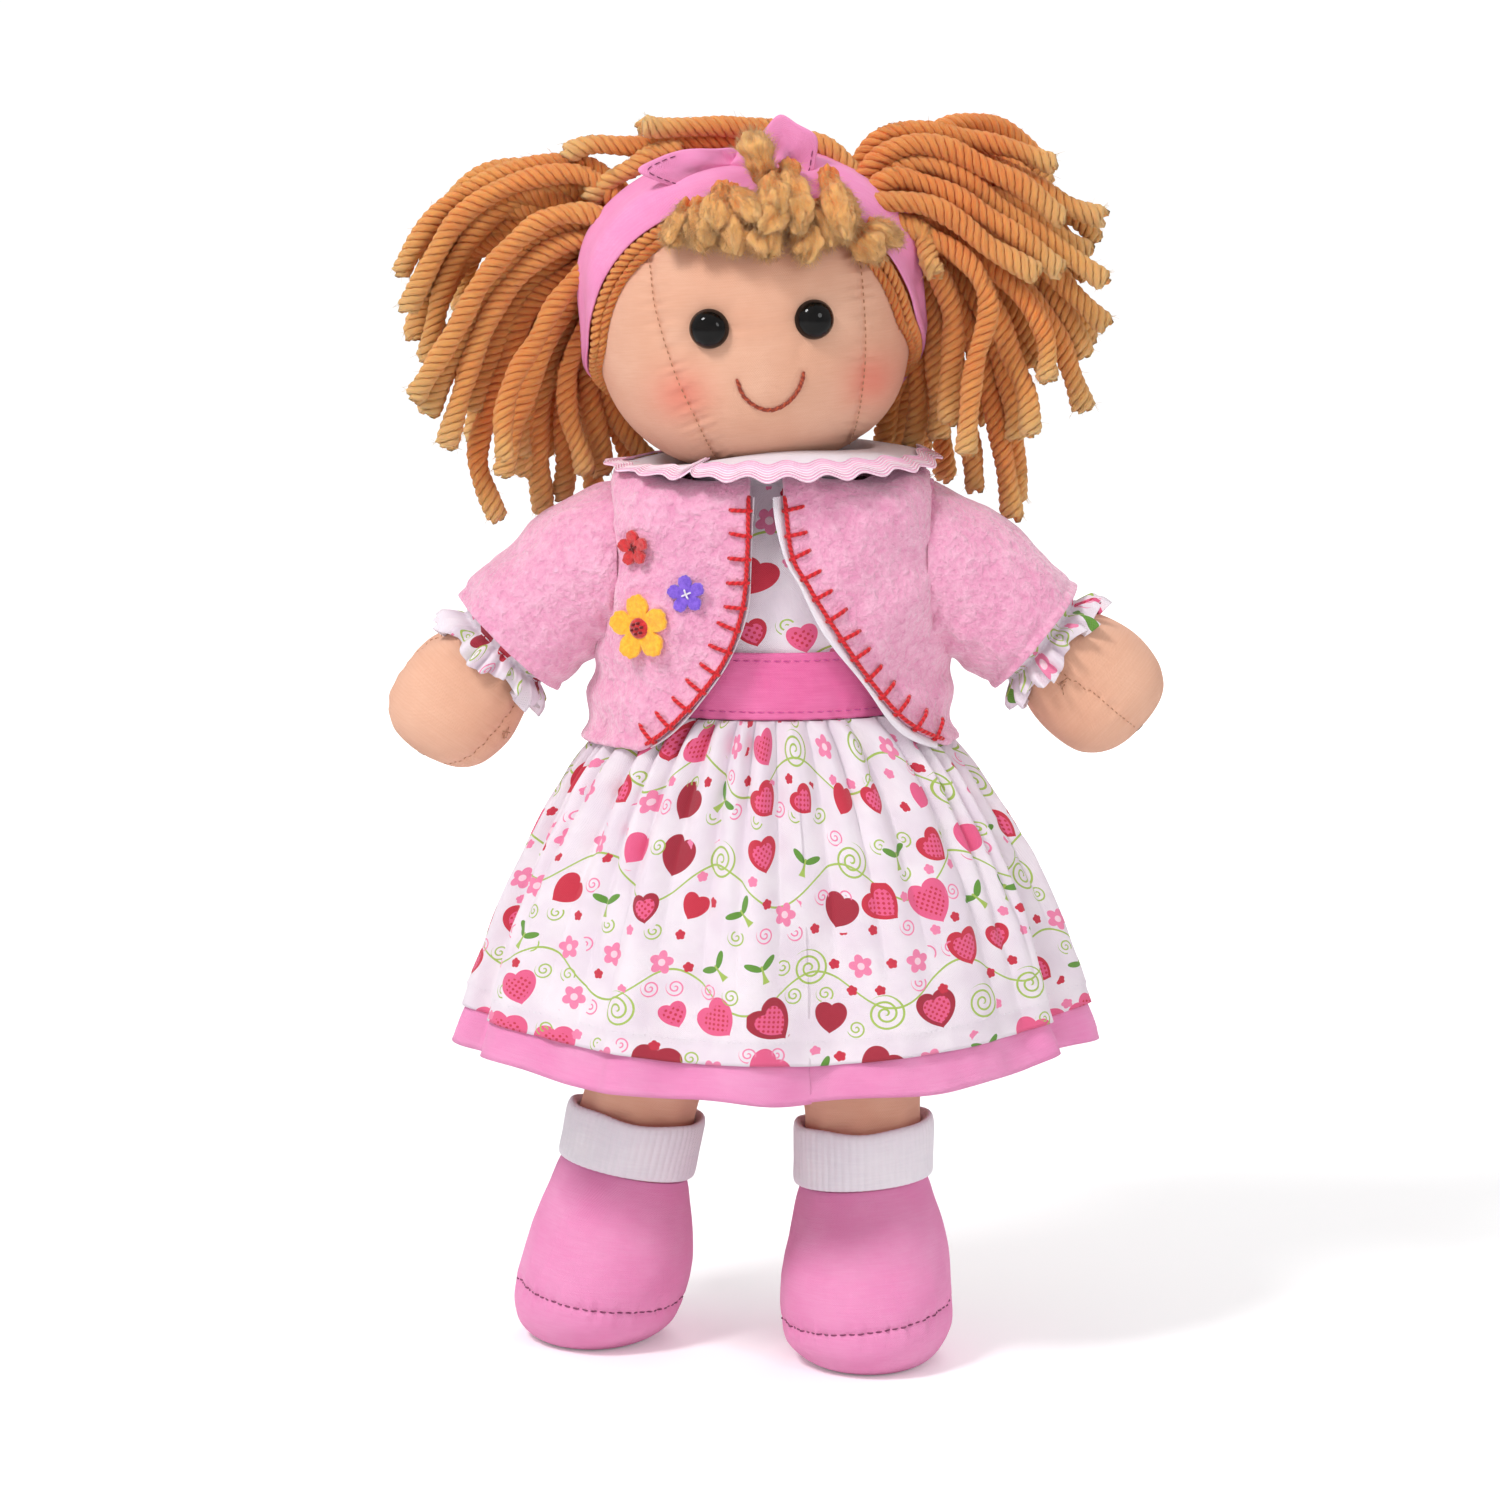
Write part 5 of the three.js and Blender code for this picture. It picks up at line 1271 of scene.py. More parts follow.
def make_arm(name):
    side = ARMS[name][0]
    share, wide, deep = ARM_TABLE.T
    count = 120
    points, middle, t = across_arm(name, share, wide * 17.0, deep * 13.0, count)
    points[..., 0] = side * np.maximum(side * points[..., 0], ARM_SEAM)
    flip = side > 0
    out = unit(points - middle[:, None] + 1e-9)
    # the seam runs round the hand: at the front of its lower edge on the right, down its front on the left
    first_seam = math.pi + (0.62 if side < 0 else 1.42)
    place = (first_seam, TURN - 0.12 if side < 0 else 0.9)
    push = ripple(points, 15) * 0.32
    visible = smoothstep(0.5, 0.62, share)[:, None]
    seams = []
    for at in place:
        wander = at + 0.12 * np.sin(share * 9)
        far = np.abs((t[None] - wander[:, None] + math.pi) % TURN - math.pi) * (wide * 15)[:, None]
        pucker = 1 + 0.45 * np.sin(share * TURN * 21 + np.sin(share * 40))[:, None]
        push -= visible * (0.4 * bell(far, 0.7) + 0.5 * bell(far, 2.8) * pucker)
        seams.append(wander)
    # the cloth is drawn in where the sleeve's elastic grips, and wrinkles from there
    grip = bell(share - 0.57, 0.05)[:, None]
    fan = bell(np.maximum(share - 0.58, 0), 0.11)[:, None]
    push -= 0.35 * fan * (1 + np.sin(t[None] * 11 + 2 * np.sin(t[None] * 3))) * visible - 0.1 * grip
    points = points + out * push[..., None]
    points[..., 0] = side * np.maximum(side * points[..., 0], ARM_SEAM)
    pile = Pile().grid(points, wrap=True, flip=flip, caps=(True, True))
    piece = show("arm_" + name, pile, SKIN, "arm_" + name,
                 ("arm_skin_" + name, "arm_stuffing_" + name))

    pile = Pile()
    for k, wander in enumerate(seams):
        rows = np.where((share > 0.64) & (share < 0.985))[0]
        column = np.round(wander[rows] / TURN * count).astype(int) % count
        line = points[rows, column]
        stitches(pile, line + out[rows, column] * 0.12, 0.7, 0.95, 0.15, out[rows, column], 0.05, 5)
    i, j = np.argmin(np.abs(share - (0.78 if side < 0 else 0.7))), int((first_seam - 0.08) / TURN * count)
    for _ in range(5):
        start = points[i, j] + rng.normal(0, 0.5, 3)
        spots = [start, start + out[i, j] * 0.6 + rng.normal(0, 0.5, 3), start + rng.normal(0, 0.9, 3)]
        tube(pile, np.array(spots), 0.15, 5)
    show("hand_stitches_" + name, pile, SEAM_THREAD, "arm_" + name)


def make_printed_sleeve(name):
    """The dress's sleeve, which its elastic draws in before the frill."""
    side, length = ARMS[name][:2]
    flip = side > 0
    count = 200
    share, wide = spline([[-0.03, 0.8], [0.06, 0.84], [0.16, 0.9], [0.3, 0.93], [0.42, 0.93], [0.5, 0.95],
                          [0.545, 0.97], [0.563, 0.88], [0.573, 0.88], [0.587, 1.0], [0.61, 1.09],
                          [SLEEVE_END, 1.12]], 96).T
    half = wide * 15.0
    points, middle, t = across_arm(name, share, half, half * 0.94, count)
    out = unit(points - middle[:, None])
    gathers = np.sin(t * 23 + 1.3 * np.sin(t * 4 + side)) + 0.5 * np.sin(t * 37 + 2 * np.sin(t * 3))
    body = 0.7 * bell(share - 0.54, 0.02)
    frill = 0.45 + 1.5 * smoothstep(FRILL_START, 0.62, share)
    size = np.where(share > ELASTIC, frill, body)
    push = size[:, None] * gathers[None]
    slip = smoothstep(FRILL_START, SLEEVE_END, share)[:, None] * 1.7
    slip = slip * np.sin(t * 7 + side * 1.3 + np.sin(t * 2))[None]
    along = unit(np.gradient(middle, axis=0))
    points = points + out * push[..., None] + along[:, None] * slip[..., None]
    points[..., 0] = side * np.maximum(side * points[..., 0], SLEEVE_SEAM)
    v = np.broadcast_to((share * length)[:, None], (len(share), count + 1)) + (4 if side > 0 else 66)
    u = np.broadcast_to(np.linspace(0, 170, count + 1), v.shape) + 25
    show("dress_sleeve_" + name + "_cloth", Pile().grid(points, u=u, v=v, wrap=True, flip=flip), PRINT,
         "arm_" + name, ("dress_sleeve_" + name,), 0.5)
    pile = Pile()
    row = np.argmin(np.abs(share - ELASTIC))
    line = looped(points[row]) + looped(out[row]) * 0.1
    stitches(pile, line, 1.4, 0.7, 0.16, looped(out[row]), 0.1, 5)
    show("elastic_stitches_" + name, pile, WHITE_THREAD, "arm_" + name)


def make_fleece_sleeve(name):
    """The cardigan's sleeve, creased along its lower side."""
    side, length = ARMS[name][:2]
    flip = side > 0
    count = 150
    share, wide = spline([[-0.1, 0.92], [0.0, 0.93], [0.1, 1.02], [0.22, 1.08], [0.45, 1.1], [0.7, 1.05],
                          [0.93, 1.01], [1, 0.985]], 70).T
    share, half = share * FLEECE_END, wide * 17.5
    depth = half * mix(0.86, 0.94, smoothstep(0, 0.1, share))
    points, middle, t = across_arm(name, share, half, depth, count)
    out = unit(points - middle[:, None])
    lower = np.clip(-np.cos(t), 0, 1)[None] ** 1.5
    creases = np.sin((share[:, None] * length) * TURN / 8.5 + 1.5 * np.sin(t)[None] + side) * lower * 1.15
    creases = creases * bell(share - 0.2, 0.2)[:, None]
    broad = ripple(points, 26) * 0.9 + ripple(points, 11) * 0.35
    hem = -0.5 * bell(share - 0.515, 0.012)[:, None] + 0.25 * smoothstep(0.52, FLEECE_END, share)[:, None]
    puff = 0.5 * bell(share - 0.12, 0.07)[:, None]
    nubs = ripple(points, 4.2, 40) * 0.16
    points = points + out * (creases + broad + hem + puff + nubs)[..., None]
    points[..., 0] = side * np.maximum(side * points[..., 0], SLEEVE_SEAM)
    show("cardigan_sleeve_" + name + "_cloth", Pile().grid(points, wrap=True, flip=flip), FLEECE,
         "arm_" + name, ("cardigan_sleeve_" + name,), 2.0, 1)


# Legs, shoes and socks

HIP_PIVOT = HIP - 3.8
# side, how far the foot stands out and forward of the hip, and degrees of lean at the shoe's top
LEGS = {"right": (-1, 26.0, -24.0, 12.0), "left": (1, 3.0, 2.0, 5.0)}
SHOE_TOP = 46.0


def leg_ring(name, z, a, b, ahead=0.0, count=96):
    """Rings round a leg at some heights."""
    side, splay, forward, tilt = LEGS[name]
    z = np.asarray(z, float)
    share = np.clip((HIP_PIVOT - z) / HIP_PIVOT, 0, 1)
    middle = np.stack([side * (22.5 + splay * share**0.85), -forward * share - ahead, z], 1)
    in_shoe = np.clip(z / SHOE_TOP, 0, 1)
    lean = np.radians(tilt) * in_shoe * np.clip(share / (1 - SHOE_TOP / HIP_PIVOT), 0, 1)
    over = np.stack([np.cos(lean), 0 * lean, side * np.sin(lean)], 1)
    return ellipses(middle, over, a, b, circle(count)), middle


def make_leg(name):
    side = LEGS[name][0]
    body = "leg_" + name
    t_hip = np.radians([80, 60, 35, 10])
    shares = spline([[0.02, 0.93, 0.225], [0.1, 0.93, 0.4], [0.2, 0.97, 0.72], [0.38, 1, 0.96], [0.6, 1, 1],
                     [0.85, 1, 1], [1.05, 1, 1]], 70)
    z = np.concatenate([HIP_PIVOT + 3.5 * np.sin(t_hip), mix(HIP_PIVOT, 46.3, shares[:, 0])])
    a = np.concatenate([[16 * 0.93] * 4, shares[:, 1] * 16])
    b = np.concatenate([3.5 * np.cos(t_hip), shares[:, 2] * 15.5])
    points, middle = leg_ring(name, z, a - 0.2, b - 0.1)
    out = unit((points - middle[:, None]) * (1, 1, 0) + 1e-9)
    soft = smoothstep(HIP_PIVOT - 6, HIP_PIVOT - 26, z)[:, None]
    squeeze = -0.7 * bell(z - 64, 4.5)[:, None] * (1 + 0.5 * np.sin(circle(96) * 9)[None])
    points = points + out * (soft * ripple(points, 17) * 0.35 + squeeze)[..., None]
    pile = Pile().grid(points[::-1], **CLOSED)
    piece = show("leg_" + name + "_cloth", pile, SKIN, body,
                 ("leg_skin_" + name, "leg_stuffing_" + name))


def make_shoe(name):
    """One stuffed piece, with a seam round the toe."""
    side = LEGS[name][0]
    body = "leg_" + name
    count = 180
    # share of the height, half width, half depth and shift ahead
    share, wide, deep, ahead = spline(
        [[-0.012, 0.5, 0.56, 1], [0.0, 0.6, 0.67, 1], [0.012, 0.7, 0.76, 1], [0.05, 0.82, 0.865, 1],
         [0.12, 0.925, 0.95, 1], [0.22, 0.985, 0.995, 1], [0.34, 1.005, 1.0, 0.97], [0.53, 0.985, 0.92, 0.8],
         [0.72, 0.91, 0.77, 0.5], [0.88, 0.82, 0.64, 0.2], [0.96, 0.775, 0.585, 0.05], [1, 0.74, 0.55, 0]],
        120,
    ).T
    z = np.clip(share, 0.0, 1) * SHOE_TOP
    points, middle = leg_ring(name, z, wide * 22.8, deep * 29, ahead * 9, count)
    t = circle(count)
    out = unit((points - middle[:, None]) * (1, 1, 0) + 1e-9)
    inner = math.pi if side > 0 else 0.0
    level = 13.2 + 2.6 * np.cos(t - math.pi - inner)
    front = smoothstep(0.12, -0.22, np.sin(t))
    far = np.abs(points[..., 2] - level)
    beat = 1 + 0.35 * np.sin(t * 41 + 2 * np.sin(t * 5)) + 0.3 * np.sin(t * 23)
    push = -front * (0.5 * bell(far, 0.75) + 0.7 * bell(far, 3.2) * beat)
    push = push + front * 0.35 * bell(points[..., 2] - level + 5.5, 4.0)
    heel = np.abs(t - math.pi / 2)
    push = push - 0.5 * bell(heel * 20, 1.0)
    push = push + ripple(points, 21) * 0.45 + ripple(points, 8) * 0.12
    flat = smoothstep(0.2, 6.0, points[..., 2])
    points = points + out * (push * flat)[..., None]
    pile = Pile().grid(points, **CLOSED)
    piece = show("shoe_" + name + "_cloth", pile, PINK, body, ("shoe_" + name,))
    pile = Pile()
    columns = np.where(np.sin(t) < -0.02)[0]
    rows = [np.argmin(np.abs(points[:, c, 2] - level[c])) for c in columns]
    line = points[rows, columns]
    line[:, 2] = level[columns]
    stitches(pile, line + out[rows, columns] * 0.12, 1.5, 1.0, 0.2, out[rows, columns], 0.12, 6)
    show("toe_stitches_" + name, pile, DARK_THREAD, body)


def make_sock(name):
    """A ribbed tube folded over, so that its top is a roll."""
    side = LEGS[name][0]
    ribs = 58
    count = ribs * 6
    t = circle(count)
    off, z = spline([[0.05, 46.9], [0.0, 50], [0.0, 58], [0.15, 60.6], [0.7, 61.9], [1.4, 62.2], [2.05, 61.5],
                     [2.35, 60], [2.4, 57], [2.35, 52], [2.4, 48.6], [2.2, 47.0], [1.6, 46.5], [0.8, 46.5],
                     [0.05, 46.9]], 70).T
    wave = 0.27 * np.abs(np.cos(t * ribs / 2))
    slack = 0.35 * np.sin(t * 3 + side) + 0.2 * np.sin(t * 7 + 1)
    grow = off[:, None] + (off > 0.3)[:, None] * (wave + slack * smoothstep(46, 60, z)[:, None])
    points, middle = leg_ring(name, z, 16.1, 15.7, 0, count)
    out = unit((points - middle[:, None]) * (1, 1, 0) + 1e-9)
    points = points + out * grow[..., None]
    points[..., 2] += (0.5 * np.sin(t * 2 + 1) + 0.25 * np.sin(t * 5))[None] * smoothstep(48, 60, z)[:, None]
    pile = Pile().grid(points, wrap=True, flip=True)
    show("sock_" + name, pile, KNIT, "leg_" + name, ("sock_cuff_" + name,))


# Dress

def make_bodice():
    z = np.linspace(172.5, 233.4, 64)
    a, b = (size * (1 - 0.1 * smoothstep(229, 233.4, z)) for size in torso_at(np.minimum(z, 229)))
    count = 200
    points = ring(a + 1.25, b + 1.25, z + 0.6 * smoothstep(215, 229, z), count)
    t = circle(count)
    out = normals_of(points, True)
    folds = np.sin(t * 17 + np.sin(t * 5)) * 0.45 * smoothstep(200, 178, z)[:, None]
    folds = folds + ripple(points, 17) * 0.35
    points = points + out * folds[..., None]
    hole = smoothstep(17, 13, np.abs(z - SHOULDER))[:, None]
    points[..., 0] = np.clip(points[..., 0], -mix(60, 33.9, hole), mix(60, 33.9, hole))
    v = np.broadcast_to((z - 172)[:, None], (len(z), count + 1))
    u = np.broadcast_to(np.linspace(0, 196, count + 1), v.shape)
    pile = Pile().grid(points, u=u, v=v, wrap=True)
    show("bodice_cloth", pile, PRINT, "torso", ("bodice",), 0.5)


BAND_LOW, BAND_TALL = 172.9, 17.5
BAND_SEAMS = (175.2, 188.4)


def make_waistband():
    z = np.linspace(BAND_LOW, BAND_LOW + BAND_TALL, 26)
    a, b = torso_at(z)
    count = 260
    points = ring(a + 2.75, b + 2.75, z, count)
    out = normals_of(points, True)
    t = circle(count)
    band = 0.25 * np.sin(math.pi * (z - BAND_LOW) / BAND_TALL)[:, None]
    gathers = np.sin(t * 30 + 2 * np.sin(t * 6)) * 0.16 * smoothstep(181, 174, z)[:, None]
    rumple = ripple(points * (1, 1, 0.4), 13) * 0.22 + gathers
    groove = -0.22 * sum(bell(z - level, 0.8) for level in BAND_SEAMS)[:, None]
    points = points + out * (band + rumple + groove)[..., None]
    pile = Pile().grid(points, wrap=True)
    # the waistband is deeper pink partly as painted shade under the cardigan
    show("waistband_cloth", pile, DEEP_PINK_WITH_PAINTED_SHADE, "torso", ("waistband",), 0.9)
    pile = Pile()
    for level in BAND_SEAMS:
        row = np.argmin(np.abs(z - level))
        line = looped(points[row])
        side = looped(out[row])
        stitches(pile, line + side * 0.1, 1.7, 0.9, 0.17, side, 0.12, 5)
    show("waistband_stitches", pile, PINK_THREAD, "torso")


WAIST = 172.7
TOP_A, TOP_B = (v + 2.9 for v in torso_at(173.0))
FLARE = spline([[0, 0], [0.04, 0.09], [0.09, 0.175], [0.18, 0.3], [0.3, 0.43], [0.46, 0.585], [0.62, 0.72],
                [0.8, 0.86], [1, 1], [1.12, 1.09]], 100)


def skirt_at(t, fall, inset):
    """The skirt's surface round its waist and down its fall."""
    flare = np.interp(fall, FLARE[:, 0], FLARE[:, 1])
    wander = 0.32 * np.sin(t * 3 + 0.7) + 0.24 * np.sin(t * 5 + 2.1) + 0.12 * np.sin(t * 8 + 4)
    broad = np.cos(t * 12 + wander * 2.6) * (0.75 + 0.35 * np.sin(t * 4 + 1.9))
    broad = broad + 0.35 * np.cos(t * 7 + 3 * wander)
    crisp = np.sign(broad) * np.abs(broad) ** 0.9
    pleats = np.abs(np.sin(t * 19 + 2.3 * wander + 0.5 * np.sin(t * 11))) * 2 - 1
    wave = crisp * 3.6 * smoothstep(0.02, 0.95, flare) * (0.6 + 0.4 * flare)
    wave = wave + pleats * 2.3 * smoothstep(1.15, 0.1, flare) * smoothstep(0.0, 0.1, flare + 0.04)
    fine = np.sin(t * 27 + fall * 2 + 3 * wander) * 0.35
    wave = wave + fine * smoothstep(0.1, 0.4, flare) * (1 - 0.6 * flare)
    a = mix(TOP_A, 80.0, flare) + wave - inset
    b = mix(TOP_B, 50.0, flare) + wave - inset
    z = WAIST - 88.0 * fall + 9.0 * np.minimum(fall, 1.12) * np.cos(t) ** 2
    z = z + 0.8 * smoothstep(0.8, 1, fall) * crisp
    lean = np.sin(math.pi * np.clip(fall, 0, 1)) * np.where(np.cos(t) > 0, 2.6, 1.8) * np.cos(t)
    z = z + np.where(np.sin(t) < 0, 1.8 * np.abs(np.sin(t)) ** 2 * np.clip(fall, 0, 1.2) ** 2, 0)
    return np.stack([a * np.cos(t) + lean, b * np.sin(t), z], -1)


HEM, UNDER_HEM = 0.934, 1.095
PRINT_FALL = 93


def gathered_size(rows):
    """A gathered sheet's flat width and length, and its area, in metres."""
    length = float(steps_of(rows).sum(0).mean())
    area = sheet_area(rows)
    width = max(area / length, float(steps_of(rows[-1]).sum()) * 0.9)
    return (width * MM, length * MM), area * MM * MM


def make_skirt(name, side):
    """Half of the skirt and of the underskirt. The halves meet in a fold at the front and the back."""
    overlap = 0.13
    middle = 0 if side > 0 else math.pi
    count = 420
    turn = np.linspace(-math.pi / 2 - overlap, math.pi / 2 + overlap, count)
    t = turn + middle
    edge = smoothstep(math.pi / 2 - overlap, math.pi / 2 + overlap * 0.4, np.abs(turn))
    tuck = edge * (1.1 if side > 0 else 0.0)
    arc = np.linalg.norm(np.diff(skirt_at(t[None], np.array([[0.8]]), 0.0)[0], axis=0), axis=1)
    u = np.concatenate([[0], np.cumsum(arc)])
    u = u - np.interp(-side * math.pi / 2, turn, u)

    fall = np.concatenate([np.linspace(0, 0.12, 14)[:-1], np.linspace(0.12, 1.0, 76)])
    rows = skirt_at(t[None], fall[:, None], tuck[None])
    out = normals_of(rows, False)
    hem = smoothstep(0.925, 0.94, fall) * 0.32 - 0.3 * bell(fall - HEM, 0.006)
    crumple = ripple(rows, 15) * 0.28 + ripple(rows * (1, 1, 0.35), 7) * 0.2
    crumple = crumple * smoothstep(0.05, 0.3, fall)[:, None]
    rows = rows + out * (hem[:, None] + crumple)[..., None]
    v = np.broadcast_to((-fall * PRINT_FALL)[:, None], (len(fall), count))
    u_all = np.broadcast_to(u, v.shape)
    pile = Pile().grid(rows[::-1], u=u_all[::-1], v=v[::-1])
    nodes = ("skirt",) if side < 0 else ()
    piece = show("skirt_" + name, pile, PRINT, "torso", nodes, 0.5)
    hem_row = np.argmin(np.abs(fall - HEM))
    stitch = Pile()
    line = rows[hem_row, 8:-8]
    stitches(stitch, line + out[hem_row, 8:-8] * 0.1, 1.9, 1.1, 0.16, out[hem_row, 8:-8], 0.1, 5)
    sewn = show("hem_stitches_" + name, stitch, WHITE_THREAD, "torso")
    flat_size, area = gathered_size(rows)

    fall = np.concatenate([np.linspace(0, 0.12, 8)[:-1], np.linspace(0.12, 1.118, 60)])
    rows = skirt_at(t[None], fall[:, None], 1.7 + tuck[None])
    out = normals_of(rows, False)
    crumple = ripple(rows, 14) * 0.5 + ripple(rows * (1, 1, 0.5), 8) * 0.3
    crumple = crumple * smoothstep(0.7, 1.02, fall)[:, None]
    droop = np.sin(t * 9 + 1.5 * np.sin(t * 4)) * 0.6 + ripple(rows, 30) * 0.6
    rows[..., 2] += droop * smoothstep(0.9, 1.1, fall)[:, None]
    hem = 0.25 * smoothstep(1.09, 1.1, fall) - 0.3 * bell(fall - UNDER_HEM, 0.005)
    rows = rows + out * (crumple + hem[:, None])[..., None]
    v = np.broadcast_to((-fall * PRINT_FALL)[:, None], (len(fall), count))
    pile = Pile().grid(rows[::-1], u=np.broadcast_to(u, v.shape)[::-1], v=v[::-1])
    nodes = ("underskirt",) if side < 0 else ()
    under = show("underskirt_" + name, pile, PINK, "torso", nodes, 0.5)
    flat_size, area = gathered_size(rows)
    for each in (piece, sewn, under):
        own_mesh(each)


def sheet_area(rows):
    """The area of a grid of points."""
    a, b, c, d = rows[:-1, :-1], rows[:-1, 1:], rows[1:, 1:], rows[1:, :-1]
    return float(np.linalg.norm(np.cross(c - a, d - b), axis=2).sum() / 2)


# Collar

def collar_at(t, stop, lift=0.0, wave=0.0):
    """The collar from its neckline at 0, over the crest at 1, to its rim at 2."""
    stop = np.asarray(stop, float)
    crest_a, crest_b = 26.5, 22.6
    rise = mix(7.2, 8.4, np.cos(t) ** 2)
    stand = mix(13.2, 9.8, np.cos(t) ** 2) + np.where(np.cos(t) > 0, 1.6, 0) * np.cos(t) ** 2
    first = np.clip(stop, 0, 1)
    second = np.maximum(stop - 1, 0)
    lift = lift + 1.9 * first * (1 - 0.6 * second) * np.cos(t)
    a = mix(mix(16.3, crest_a, first), 41.8, second**0.85) + wave
    b = mix(mix(13.3, crest_b, first), 33.0, second**0.8) + wave
    z = mix(3.0, stand, first**0.8) - (stand - rise) * (second / 1.12) ** 2.6 + lift
    return np.stack([a * np.cos(t), b * np.sin(t), NECK + z], -1)


def make_collar():
    notch, overlap = math.radians(240), math.radians(1)
    flaps = (
        ("right", math.radians(92), notch + overlap, 170),
        ("left", notch - overlap, math.radians(448), 240),
    )
    for name, first, last, count in flaps:
        nodes = ("collar",) if name == "left" else ()
        t = np.linspace(first, last, count)
        near = np.minimum(t - first, last - t)
        is_front = np.abs(((t - notch + math.pi) % TURN) - math.pi) < 0.6
        corner = 1 - np.sqrt(np.clip(1 - (1 - np.clip(near / 0.16, 0, 1)) ** 2, 0, 1))
        rounding = 1 - is_front * corner * 0.4
        stop = np.linspace(0, 1, 26)[:, None]
        reach = 1 + 0.96 * rounding
        grid = collar_at(t[None], stop * reach[None])
        flop = ripple(grid, 24) * 0.5 * stop + 0.5 * np.sin(t * 4 + 1.0)[None] * stop**2
        grid[..., 2] += flop
        faces_down = normals_of(grid[::-1], False)[..., 2].mean() < 0
        pile = Pile().grid(grid[::-1], flip=faces_down)
        piece = show("collar_" + name, pile, WHITE, None, nodes, 0.6, 1)
        area = sheet_area(grid)

        # ric-rac along the rim: a braid of six ridges that swings in and out
        line_t = np.linspace(first, last, count * 3)
        reach3 = np.interp(line_t, t, reach)
        flop3 = np.interp(line_t, t, flop[-1])
        rim = collar_at(line_t, reach3)
        run = distances(rim)
        swing = np.sin(run * TURN / 9.8) * 0.7
        rows = []
        for s in np.linspace(-1, 1, 49):
            row = collar_at(line_t, reach3 + (swing + s * 2.2 - 0.1) / 12.0)
            row[:, 2] += flop3
            rows.append(row)
        rows = np.array(rows)
        out = normals_of(rows[::-1], False)[::-1]
        cords = 0.75 + 0.22 * np.abs(np.cos(np.linspace(-1, 1, 49) * 3 * math.pi))
        rows = rows + out * np.sign(out[..., 2:].mean()) * cords[:, None, None]
        pile = Pile().grid(rows[::-1])
        nodes = ("collar_trim",) if name == "left" else ()
        trim = show("ric_rac_" + name, pile, TRIM, None, nodes, 0.45)
        # the collar rides on no body: its pieces are baked in place
        for each in (piece, trim):
            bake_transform(each)


# Cardigan

CARDIGAN_LOW, CARDIGAN_SPAN = 165.0, 64.0
CARDIGAN_TABLE = spline(
    [[0, 1.12, 1.14], [0.3, 1.05, 1.05], [0.62, 1, 1], [0.8, 0.97, 0.98], [0.93, 0.965, 0.97],
     [1.02, 0.96, 0.94], [1.065, 0.93, 0.88], [1.085, 0.8, 0.78], [1.09, 0.6, 0.66]],
    260,
)
CARDIGAN_HALF = (44.0, 29.0)
RIGHT_EDGE = spline([[-0.8, -0.01], [-0.62, 0.08], [-0.43, 0.22], [-0.27, 0.38], [-0.17, 0.58], [-0.14, 0.8],
                     [-0.13, 1.15]], 120)
LEFT_EDGE = spline([[1.08, -0.01], [0.8, 0.1], [0.58, 0.27], [0.36, 0.5], [0.2, 0.68], [0.1, 0.82],
                    [0.05, 1.15]], 120)


def cardigan_size(up):
    """Half width and half depth at a share of the height."""
    heights, *sizes = CARDIGAN_TABLE.T
    return tuple(np.interp(up, heights, size) * half for size, half in zip(sizes, CARDIGAN_HALF))


def cardigan_power(z):
    """How square the cardigan is across at a height: 2 is an ellipse."""
    return 2 + 1.1 * smoothstep(183, 203, z) * smoothstep(236, 228, z)


def cardigan_front(x, z, lift=0.0):
    """Points on the front of the cardigan, and their outward directions."""
    up = (np.asarray(z, float) - CARDIGAN_LOW) / CARDIGAN_SPAN
    a, b = cardigan_size(up)
    power = cardigan_power(z)
    share = np.minimum(np.abs(x) / a, 0.975)
    y = -b * (1 - share**power) ** (1 / power)
    across, ahead = share ** (power - 1) / a, np.abs(y / b) ** (power - 1) / b
    out = unit(np.stack([np.sign(x) * across, -ahead, 0 * z], -1))
    return np.stack([x, y, z], -1) + out * np.asarray(lift, float)[..., None], out


